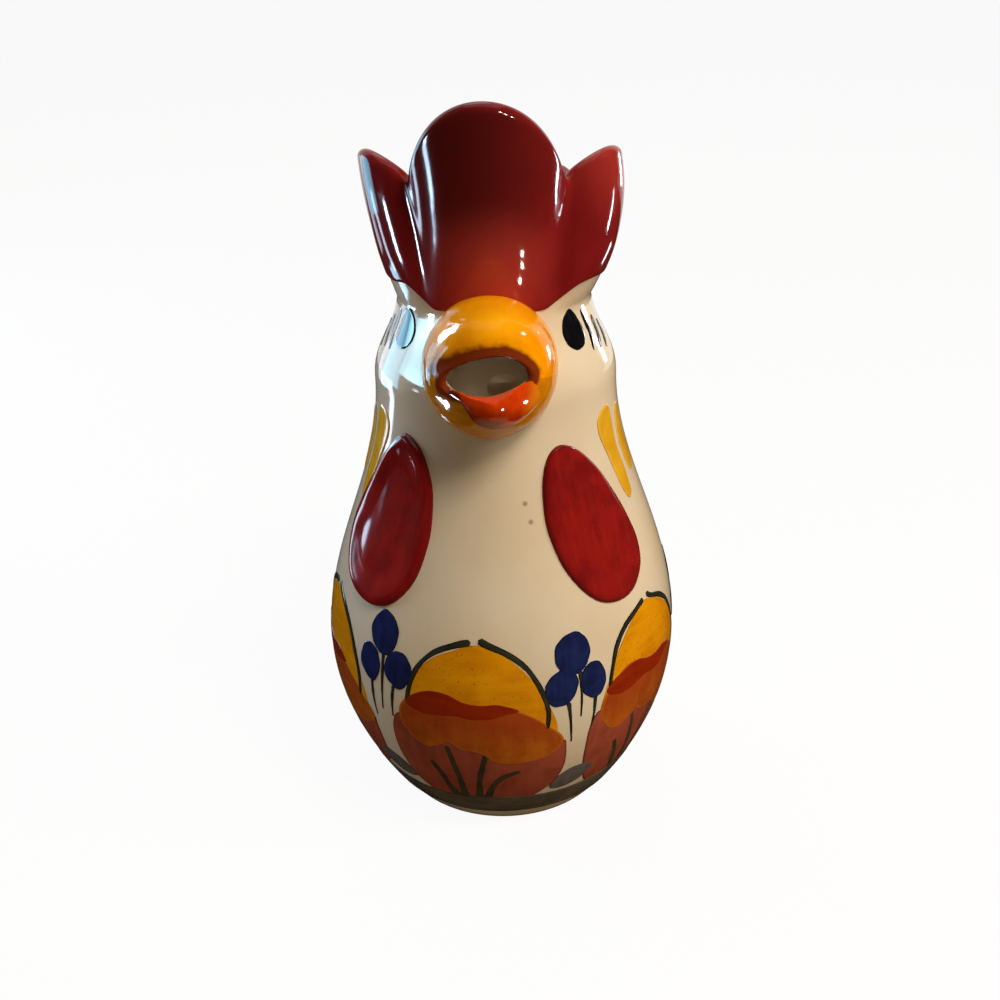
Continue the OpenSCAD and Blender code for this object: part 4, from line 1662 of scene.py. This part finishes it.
@dataclass
class Face:
    """Wattles, side feathers, eyes and lashes."""

    wattle_rim: float = 4.2
    left_wattle: Points = (
        (2.2, 147.2), (8.2, 143.4), (12.4, 135.5), (15.0, 126), (16.1, 116), (14.6, 104.5),
        (8.6, 95.2), (0.6, 91.8), (-8.5, 92.4), (-16.0, 96.6), (-20.4, 104.0), (-20.6, 113.5),
        (-16.4, 124.2), (-10.6, 134.5), (-5.6, 141.8), (-1.6, 145.9),
    )
    right_wattle: Points = (
        (-8.4, 145.2), (-2.6, 142.6), (3.4, 136.4), (9.6, 127.0), (14.6, 116.8), (17.3, 107.0),
        (15.8, 98.6), (9.8, 93.6), (2.4, 92.4), (-5.4, 94.6), (-11.8, 100.2), (-16.0, 109.0),
        (-17.7, 119.6), (-17.0, 130.6), (-14.6, 139.0), (-12.0, 143.6),
    )
    feather: tuple[Points, Points] = (
        (
            (-11.7, 152.0), (-14.6, 150.8), (-16.5, 147.6), (-16.5, 143.6), (-15.3, 139.0),
            (-14.1, 135.0), (-12.9, 129.6), (-11.9, 124.3), (-10.0, 119.4), (-8.2, 118.6),
            (-6.3, 120.2), (-5.8, 125.0), (-6.5, 130.5), (-7.4, 136.0), (-7.9, 142.0),
            (-8.4, 148.0), (-9.6, 151.4),
        ),
        (
            (-3.0, 149.5), (-4.6, 144.5), (-5.0, 138.0), (-3.8, 131.5), (-2.0, 126.6), (0.6, 124.6),
            (3.4, 126.2), (3.6, 131.0), (2.0, 137.0), (0.6, 143.0), (-0.6, 148.0),
        ),
    )
    eye: Points = (
        (-2.4, 184.2), (0.0, 181.8), (1.9, 178.6), (2.4, 175.8), (1.4, 173.2), (-1.2, 172.0),
        (-4.0, 172.1), (-6.3, 174.0), (-7.0, 177.4), (-6.0, 181.2), (-4.2, 183.4),
    )
    lashes: tuple[Points, ...] = (
        ((3.2, 182.4), (5.0, 178.8), (5.8, 174.6), (4.2, 169.8)),
        ((10.2, 178.8), (11.0, 173.6), (9.0, 169.2)),
        ((14.8, 176.0), (15.7, 171.8), (13.8, 167.8)),
    )
    wattle_a: float = 44.0
    feather_a: float = 80.0
    eye_a: tuple[float, float] = (-59.0, 55.0)

    def build(self) -> None:
        """Make the pieces of the face and set them in the frame."""
        red = WATTLE.material()
        left = dict(outline=self.left_wattle, thick=2.1, dish=1.1, brow=3.4)
        right = dict(outline=self.right_wattle, thick=1.7, dish=0.15, brow=3.8)
        for side, form in ((Side.LEFT, left), (Side.RIGHT, right)):
            pad = Pad(
                self.wattle_a * side.value, centre=(side.value, 115), tone=0.3 * side.value, waver=0.1,
                rim=self.wattle_rim, **form,
            )
            obj = pad.build(f"wattle_{side.name.lower()}_glazed", 160, 56)
            Bench.close(obj, SOFT)
            place(obj, "wattle_red", red, f"wattle_{side.name.lower()}")
        self._build_feathers()
        self._build_eyes()

    def _build_feathers(self) -> None:
        """Lay the yellow side feathers, each with a narrow second strip behind it."""
        yellow = FEATHER.material()
        for side in Side:
            name = f"feather_{side.name.lower()}"
            parts = [
                Pad(
                    self.feather_a * side.value, side.turned(shape), thick=0.3, crown=0.15, tone=0.2 * k
                ).build("feather_strip", 72, 20)
                for k, shape in enumerate(self.feather)
            ]
            obj = Bench.join(parts, f"{name}_glazed")
            Bench.close(obj)
            place(obj, "feather_yellow", yellow, name)

    def _build_eyes(self) -> None:
        """Lay the eyes and the three lashes behind each."""
        black = EYE.material()
        brush = dict(width=2.2, heavy_end=0.55, light_end=0.45, belly=0.55)
        for side, angle in zip(Side, self.eye_a):
            name = side.name.lower()
            eye = Pad(angle, side.turned(self.eye), thick=0.35, crown=0.45, waver=0.1)
            obj = eye.build(f"eye_{name}_glazed", 72, 24)
            Bench.close(obj)
            place(obj, "eye_black", black, f"eye_{name}")
            parts = [
                Stroke(angle, side.turned(path), tone=0.3 * k, **brush).build("lash")
                for k, path in enumerate(self.lashes)
            ]
            obj = Bench.join(parts, f"lashes_{name}_glazed")
            Bench.close(obj)
            place(obj, "eye_black", black, f"lashes_{name}")


# Painted border.


@dataclass
class Border:
    """The painted border: five blossoms, the sprigs between them and the base band."""

    blossom_angles: tuple[float, ...] = (-5.5, 59.0, 131.0, 207.0, 290.5)
    sprig_angles: tuple[float, ...] = (26.0, 95.0, 169.0, 246.5, 321.0)
    dome: Points = (
        (25.6, 56), (24.2, 62.5), (21.0, 70.0), (16.0, 77.6), (9.6, 83.2), (3.2, 86.6),
        (-1.4, 87.2), (-7.0, 85.0), (-13.2, 82.0), (-18.2, 77.0), (-22.2, 69.6), (-25.0, 60.6),
        (-25.6, 53), (-18, 47), (0, 44), (18, 46), (24.8, 50),
    )
    cup: Points = (
        (27.2, 50.0), (28.2, 46.2), (27.8, 38.5), (25.4, 31.4), (21.0, 25.0), (13.0, 19.4),
        (0, 16.6), (-13.0, 17.0), (-19.0, 19.6), (-24.2, 26.0), (-27.6, 35.0), (-29.3, 46.0),
        (-28.8, 53.0), (-26.4, 57.6), (-20, 56), (0, 54), (20, 52),
    )
    wash: Points = (
        (26.6, 52.6), (20.4, 60.0), (13.6, 64.6), (7.6, 67.0), (2.0, 66.6), (-3.8, 67.3),
        (-9.6, 69.8), (-15.8, 69.8), (-21.8, 66.4), (-25.6, 61.2), (-26.2, 55.2), (-23.4, 50.6),
        (-19.8, 47.2), (-16.4, 46.4), (-13.0, 49.4), (-9.6, 50.6), (-6.0, 48.0), (-2.0, 47.2),
        (1.8, 46.0), (5.2, 42.6), (10.6, 41.4), (16.6, 41.9), (21.6, 43.0), (25.4, 45.6),
        (27.4, 48.8),
    )
    fold: Points = (
        (13.8, 64.5), (7.6, 67.1), (2.0, 66.8), (-3.8, 67.5), (-9.6, 70.0), (-15.8, 69.9),
        (-21.7, 66.6), (-23.6, 63.4), (-19.6, 61.4), (-16.0, 61.0), (-6.8, 61.9), (-1.0, 61.2),
        (4.9, 61.7), (9.6, 63.2),
    )
    near_arc: Points = (
        (-1.4, 88.0), (-6.5, 86.7), (-13.1, 83.6), (-18.2, 78.4), (-21.4, 71.5), (-23.3, 63.0),
    )
    far_arc: Points = (
        (0.9, 88.9), (3.5, 87.4), (10.5, 84.0), (16.4, 78.9), (20.6, 71.3), (22.9, 63.4),
        (22.6, 55.6),
    )
    grass: tuple[Points, ...] = (
        ((-8.4, 18.6), (-11.6, 26.4), (-13.4, 32.6), (-16.6, 39.6)),
        ((-6.0, 18.0), (-7.4, 34.0), (-10.4, 49.0)),
        ((-1.6, 18.0), (-0.2, 33.0), (2.7, 46.8)),
        ((0.8, 18.4), (4.0, 29.0), (8.0, 34.6), (13.6, 37.4)),
    )
    berries: tuple[tuple[float, float, float, float, float], ...] = (
        (-0.9, 81.4, 12.6, 14.2, -6), (-5.4, 70.4, 11.2, 13.6, -22), (6.0, 70.4, 9.6, 13.4, 4),
    )
    stems: tuple[Points, ...] = (
        ((1.3, 75.0), (1.5, 66.0), (1.2, 57.6)),
        ((-3.2, 64.6), (-2.4, 57.0), (-1.7, 47.6)),
        ((6.6, 64.8), (6.1, 57.0), (4.9, 49.4)),
    )
    left_berries: tuple[tuple[float, float, float, float, float], ...] = (
        (2.0, 85.0, 12.0, 15.2, 0), (-4.0, 72.8, 10.0, 13.8, 2), (8.8, 74.0, 11.2, 13.6, -10),
    )
    left_stems: tuple[Points, ...] = (
        ((2.3, 78.0), (2.2, 68.0), (1.5, 56.0)),
        ((-3.2, 66.6), (-3.0, 60.0), (-2.2, 51.6)),
        ((7.0, 67.6), (6.3, 61.0), (6.0, 54.8)),
    )
    leaf: Points = (
        (8.6, 32.4), (4.8, 34.2), (-0.6, 33.4), (-4.8, 30.0), (-6.4, 25.0), (-3.2, 23.0),
        (2.2, 23.8), (6.8, 27.2),
    )
    band_low: float = 8.6
    band_high: float = 20.6
    band_t: float = 0.4

    def build(self) -> None:
        """Lay the painted pieces on the body and set them in the frame."""
        lots: dict[str, list[Mesh]] = {}
        for k, angle in enumerate(self.blossom_angles):
            self._blossom(lots, angle, k)
        for k, angle in enumerate(self.sprig_angles):
            self._sprig(lots, angle, k)
        line = LINE.material()
        dress = {
            "blossom_domes": ("blossom_yellow", YELLOW.material()),
            "blossom_washes": ("wash_orange", WASH.material()),
            "blossom_folds": ("wash_orange", FOLD.material()),
            "blossom_cups": ("cup_brown", CUP.material()),
            "blossom_outlines": ("line_green", line),
            "grass_strokes": ("line_green", GRASS.material()),
            "berries": ("berry_blue", BERRY.material()),
            "berry_stems": ("line_green", line),
            "leaves": ("leaf_grey_green", LEAF.material()),
        }
        for node, (slot, finish) in dress.items():
            obj = Bench.join(lots[node], f"{node}_glazed")
            Bench.close(obj)
            place(obj, slot, finish, "blossom_washes" if node == "blossom_folds" else node)
        self._band()

    def _varied(self, points: Points, k: int, swing: float = 0.5) -> list[tuple[float, float]]:
        """Redraw an outline as a hand would the next time round.

        Args:
            points: The outline or path as first drawn.
            k: Which time it is drawn, from 0.
            swing: How far its points stray, in millimetres.

        Returns:
            The outline or path.
        """
        if k == 0:
            return [tuple(p) for p in points]
        drawn = []
        for i, (x, z) in enumerate(points):
            across, up = swing * math.sin(1.3 * i + 2.1 * k), swing * math.cos(1.7 * i + 1.4 * k)
            drawn.append((x * (1 - 0.012 * k) + across, z + up))
        return drawn

    def _blossom(self, lots: dict, angle: float, k: int) -> None:
        """Lay one blossom: dome, cup, wash, fold, outlines and grass.

        Args:
            lots: Painted pieces so far, by node.
            angle: Where it stands.
            k: Which blossom it is.
        """
        tone = 0.17 * k
        shapes = (
            ("blossom_domes", self.dome, 0.14, (0.0, 64.0)),
            ("blossom_cups", self.cup, 0.17, (0.0, 38.0)),
            ("blossom_washes", self.wash, 0.26, (0.0, 56.5)),
            ("blossom_folds", self.fold, 0.33, (-6.5, 65.2)),
        )
        for node, outline, thick, centre in shapes:
            outline = self._varied(outline, k, 0.35)
            pad = Pad(angle, outline, thick, crown=0.03, centre=centre, tone=tone, waver=0.1)
            lots.setdefault(node, []).append(pad.build(node, 128, 30))
        for path in (self.near_arc, self.far_arc):
            path = self._varied(path, k, 0.2)
            stroke = Stroke(angle, path, 1.8, heavy_end=1.15, light_end=0.75, thick=0.3, tone=tone)
            lots.setdefault("blossom_outlines", []).append(stroke.build("outline"))
        for path in self.grass:
            path = self._varied(path, k, 0.4)
            stroke = Stroke(angle, path, 2.7, heavy_end=1.3, light_end=0.75, thick=0.24, tone=tone)
            lots.setdefault("grass_strokes", []).append(stroke.build("grass"))

    def _sprig(self, lots: dict, angle: float, k: int) -> None:
        """Lay one sprig: three berries, their stems and the leaf at its foot.

        Args:
            lots: Painted pieces so far, by node.
            angle: Where it stands.
            k: Which sprig it is.
        """
        flip, berries, stems = 1, self.berries, self.stems
        if k == len(self.sprig_angles) - 1:
            flip, berries, stems = -1, self.left_berries, self.left_stems
        tone = 0.13 * k
        for i, (x, z, w, h, lean) in enumerate(berries):
            a = np.linspace(0, 2 * np.pi, 12, endpoint=False)
            c, s = math.cos(math.radians(lean)), math.sin(math.radians(lean))
            u, v = w / 2 * np.cos(a), h / 2 * np.sin(a) * (1 + 0.06 * np.cos(a))
            round_it = [(x + p * c - q * s, z + p * s + q * c) for p, q in zip(u, v)]
            outline = self._varied(round_it, k, 0.2)
            pad = Pad(angle, outline, 0.24, crown=0.12, centre=(x, z), tone=tone + 0.4 * i, waver=0.3)
            lots.setdefault("berries", []).append(pad.build("berry", 56, 20))
        for path in stems:
            path = self._varied(path, k, 0.2)
            stroke = Stroke(angle, path, 1.15, heavy_end=1.3, light_end=0.4, thick=0.16, tone=tone)
            lots.setdefault("berry_stems", []).append(stroke.build("stem", 16, 32))
        outline = self._varied([(flip * x, z) for x, z in self.leaf], k, 0.25)
        pad = Pad(angle, outline, 0.22, crown=0.05, tone=tone, waver=0.2)
        lots.setdefault("leaves", []).append(pad.build("leaf", 56, 18))

    def _band(self) -> None:
        """Run the dark band round the base, uneven as a turned brush leaves it."""
        obj = Bench.hoop("base_band_glazed", 360, 24)
        phi, turn = hoop_grid(Bench.points(obj))
        a = np.radians(phi)
        low = self.band_low + ripple(a, (0.6, 2, 1), (0.35, 5, 0))
        high = self.band_high + ripple(a, (1.1, 3, 0.4), (0.6, 7, 2))
        middle, half = (low + high) / 2, (high - low) / 2
        up = np.sin(turn)
        z = middle + half * up
        edge = half * (1 - np.abs(up))
        lift = np.where(np.cos(turn) > 0, self.band_t * rounded(edge, 0.4), -0.3)
        Bench.shape(obj, FORM.spot(phi, z, lift))
        Bench.note(obj, plan=np.column_stack([a * 45, z, 0 * z]), inset=edge)
        Bench.close(obj)
        place(obj, "band_green", BAND.material(), "base_band")


# Studio.


class Seen(Enum):
    """What a lamp or a card of the studio acts on."""

    ALL = "all"
    LIGHT_ONLY = "light only"
    GLAZE_ONLY = "glaze only"


def heading(a: float, e: float) -> Spot:
    """Give the way that an angle from the beak and an angle above level point, both in radians."""
    return math.sin(a) * math.cos(e), -math.cos(a) * math.cos(e), math.sin(e)


@dataclass
class Lamp:
    """A soft lamp that faces the hen."""

    name: str
    azimuth: float
    elevation: float
    distance: float
    size: tuple[float, float]
    power: float
    tint: str
    aim: Spot = (0.0, 0.0, 130.0)
    spread: float = 180.0
    seen: Seen = Seen.ALL

    def build(self) -> None:
        """Hang the lamp."""
        data = bpy.data.lights.new(self.name, "AREA")
        data.shape, data.size, data.size_y = "RECTANGLE", self.size[0], self.size[1]
        data.energy, data.color = self.power, colour(self.tint)[:3]
        data.spread = math.radians(self.spread)
        obj = bpy.data.objects.new(self.name, data)
        bpy.context.scene.collection.objects.link(obj)
        a, e = math.radians(self.azimuth), math.radians(self.elevation)
        target = Vector(self.aim) * MM
        obj.location = target + Vector(heading(a, e)) * self.distance
        obj.rotation_euler = (target - obj.location).to_track_quat("-Z", "Y").to_euler()
        obj.visible_camera = False
        obj.visible_diffuse = self.seen is not Seen.GLAZE_ONLY
        obj.visible_glossy = self.seen is not Seen.LIGHT_ONLY


@dataclass
class Pane(Lamp):
    """A lamp that the glaze alone mirrors, as it does a pane of a window."""

    seen: Seen = Seen.GLAZE_ONLY


@dataclass
class Card:
    """A dark card that the glaze mirrors as it would a dim room, out of the picture itself."""

    name: str
    size: tuple[float, float]
    spot: Spot
    turned: tuple[float, float]
    tint: str = "#2a221b"

    def build(self) -> None:
        """Stand the card up."""
        Bench.clear()
        lean, yaw = (math.radians(v) for v in self.turned)
        bpy.ops.mesh.primitive_plane_add(size=1, location=self.spot, rotation=(lean, 0, yaw))
        card = Bench.named(self.name)
        card.scale = (self.size[0], self.size[1], 1)
        card.data.materials.append(Brew(f"matt_dark_board_{self.name}", self.tint).fire(0.9, 0.0))
        card.visible_camera = card.visible_diffuse = card.visible_shadow = False


@dataclass
class Studio:
    """Floor, light and camera of a plain pale studio."""

    lamps: tuple[Lamp, ...] = (
        Lamp("key", 38.0, 52.0, 1.2, (0.35, 0.35), 8.6, "#fff0dc", seen=Seen.LIGHT_ONLY),
        Lamp("key_side", 78.0, 25.0, 1.2, (0.35, 0.35), 6.2, "#fff0dc", seen=Seen.LIGHT_ONLY),
        Lamp("window_dim", -112.0, 10.0, 0.95, (0.5, 0.6), 6.0, "#cfe0fa", seen=Seen.LIGHT_ONLY),
        Pane("window_left", -112.0, 0.0, 0.3, (0.15, 0.15), 0.52, "#90dcff", (-28, -21, 175)),
        Pane("pane_bulb", -124.0, 23.0, 0.08, (0.04, 0.042), 0.042, "#e4f0ff", (-13, -45, 183), 36),
        Pane("pane_front", -74.0, -19.0, 0.1, (0.012, 0.03), 0.009, "#bfe0ff", (-22, -25, 205), 40),
        Pane("pane_cheek", -80.0, 5.0, 0.07, (0.05, 0.03), 0.011, "#a4dcf6", (-22, -24, 180), 50),
        Pane("pane_side", -118.0, -28.5, 0.1, (0.035, 0.018), 0.019, "#a8dcff", (-28, -20, 190)),
        Pane("pane_rear", -133.0, -15.0, 0.35, (0.07, 0.14), 0.09, "#dceaff", (-37, -17, 222)),
        Pane("pane_beak", -105.0, -38.0, 0.06, (0.017, 0.008), 0.006, "#cfe4ff", (-13, -55, 163), 50),
        Pane("pane_wattle", -114.0, -8.0, 0.3, (0.04, 0.1), 0.15, "#cfe4ff", (-38, -33, 116)),
        Pane("pane_right", 132.0, -2.0, 0.06, (0.006, 0.016), 0.0022, "#eef4ff", (33, -14, 170), 90),
        Pane("slit_crease", 109.0, -26.0, 0.1, (0.003, 0.03), 0.0026, "#eef4ff", (21, -31, 236), 40),
        Pane("slit_lobe", 139.0, -10.0, 0.1, (0.004, 0.022), 0.0026, "#eef4ff", (38, -15, 229), 40),
        Lamp("fill_top", 200.0, 70.0, 1.2, (0.6, 0.6), 2.6, "#fff6ea"),
    )
    glints: tuple[tuple[float, float, Spot], ...] = (
        (45, -36, (10, -33, 205)), (42, -36, (10, -32, 201.5)), (37, -35, (9, -31, 197)),
        (21, -30, (6, -45, 250.5)), (26, -33, (7.8, -45, 249)), (32, -36, (9.6, -44.5, 248)),
        (31, -36, (5, -58, 170)), (86, -33, (12, -55, 170)), (105, 27, (10.4, -50, 186)),
    )
    # glints: metres off the glaze, metres across and high, watts
    glint_off: float = 0.012
    glint_size: tuple[float, float] = (0.0012, 0.0016)
    glint_power: float = 2.4e-4
    glint_tint: str = "#fff4e6"
    glint_spread: float = 90.0
    cards: tuple[Card, ...] = (
        Card("table_card", (2.6, 2.2), (0.0, -0.5, 0.0004), (0.0, 0.0)),
        Card("room_card", (2.6, 2.2), (0.0, -1.6, 1.1), (90.0, 0.0)),
        Card("right_card", (2.5, 2.2), (1.3, -0.35, 1.1), (90.0, 90.0)),
        Card("left_card", (1.9, 2.2), (-1.3, -0.65, 1.1), (90.0, 90.0), "#8a949c"),
    )
    ambient: float = 0.06
    ambient_tint: str = "#fff3e4"
    floor_bounce: str = "#a09688"
    floor_share: float = 0.94
    floor_size: float = 8.0
    # the camera, as fitted to the photograph's outline: millimetres and degrees
    eye_yaw: float = 3.0
    eye_lift: float = 27.0
    eye_reach: float = 424.35
    eye_aim: float = 108.4
    roll: float = 1.36
    lens: float = 44.06
    film: float = 36.0
    shift: tuple[float, float] = (0.001, 0.0016)

    def build(self) -> None:
        """Set the stage."""
        for item in (*self.lamps, *self.cards):
            item.build()
        for k, (azimuth, elevation, aim) in enumerate(self.glints):
            Pane(
                f"glint_{k}", azimuth, elevation, self.glint_off, self.glint_size, self.glint_power,
                self.glint_tint, aim, self.glint_spread,
            ).build()
        self._world()
        self._floor()
        self._camera()

    def _seen(self, tree: bpy.types.NodeTree) -> Socket:
        """Tell rays that show the background, seen plainly or in glaze or glass, from the others.

        Args:
            tree: The node tree.

        Returns:
            A value of 1 for such rays.
        """
        rays = add_node(tree, "ShaderNodeLightPath").outputs
        seen = rays["Is Camera Ray"]
        for kind in ("Is Glossy Ray", "Is Transmission Ray"):
            either = {0: seen, 1: rays[kind]}
            seen = add_node(tree, "ShaderNodeMath", either, operation="MAXIMUM").outputs[0]
        return seen

    def _world(self) -> None:
        """Light the room softly, and show it white."""
        world = bpy.data.worlds.new("pale_room")
        bpy.context.scene.world = world
        world.use_nodes = True
        tree = world.node_tree
        tree.nodes.clear()
        white = add_node(tree, "ShaderNodeBackground", {"Color": (1, 1, 1, 1), "Strength": 1.0})
        soft = add_node(
            tree, "ShaderNodeBackground", {"Color": colour(self.ambient_tint), "Strength": self.ambient}
        )
        mixed = add_node(
            tree, "ShaderNodeMixShader", {0: self._seen(tree), 1: soft.outputs[0], 2: white.outputs[0]}
        )
        add_node(tree, "ShaderNodeOutputWorld", {"Surface": mixed.outputs[0]})

    def _floor(self) -> None:
        """Lay a pale floor that keeps the hen's shadow."""
        Bench.clear()
        bpy.ops.mesh.primitive_plane_add(size=self.floor_size, location=(0, 0, 0))
        floor = Bench.named("studio_floor")
        b = Brew("matt_white_paper_floor")
        bounced = add_node(b.tree, "ShaderNodeLightPath").outputs["Is Diffuse Ray"]
        mix = {0: bounced, 6: colour("#ffffff"), 7: colour(self.floor_bounce)}
        toned = add_node(b.tree, "ShaderNodeMix", mix, data_type="RGBA")
        paper = add_node(b.tree, "ShaderNodeBsdfDiffuse", {"Color": toned.outputs[2]})
        bright = add_node(b.tree, "ShaderNodeEmission", {"Color": (1, 1, 1, 1), "Strength": 1.0})
        share = add_node(
            b.tree, "ShaderNodeMath", {0: self._seen(b.tree), 1: self.floor_share}, operation="MULTIPLY"
        )
        both = {0: share.outputs[0], 1: paper.outputs[0], 2: bright.outputs[0]}
        mixed = add_node(b.tree, "ShaderNodeMixShader", both)
        add_node(b.tree, "ShaderNodeOutputMaterial", {"Surface": mixed.outputs[0]})
        floor.data.materials.append(b.material)

    def _camera(self) -> None:
        """Set the camera where the photograph was taken from."""
        data = bpy.data.cameras.new("camera")
        obj = bpy.data.objects.new("camera", data)
        bpy.context.scene.collection.objects.link(obj)
        data.lens, data.sensor_width, data.dof.use_dof = self.lens, self.film, False
        data.shift_x, data.shift_y = self.shift
        a, e = math.radians(self.eye_yaw), math.radians(self.eye_lift)
        target = Vector((0, 0, self.eye_aim)) * MM
        spot = target + Vector(heading(a, e)) * self.eye_reach * MM
        look = (target - spot).to_track_quat("-Z", "Y").to_matrix().to_4x4()
        tip = Matrix.Rotation(math.radians(-self.roll), 4, "Z")
        obj.matrix_world = Matrix.Translation(spot) @ look @ tip
        bpy.context.scene.camera = obj


def main() -> None:
    """Build the pitcher in order and set the stage round it."""
    logging.basicConfig(level=logging.INFO, format="%(name)s: %(message)s")
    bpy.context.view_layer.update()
    for part in (Body(), Comb(), BEAK, Handle(), Face(), Border()):
        part.build()
        LOG.info("built %s", type(part).__name__)
    Studio().build()
    scene = bpy.context.scene
    scene.view_settings.view_transform = "Standard"


if __name__ == "__main__":
    main()
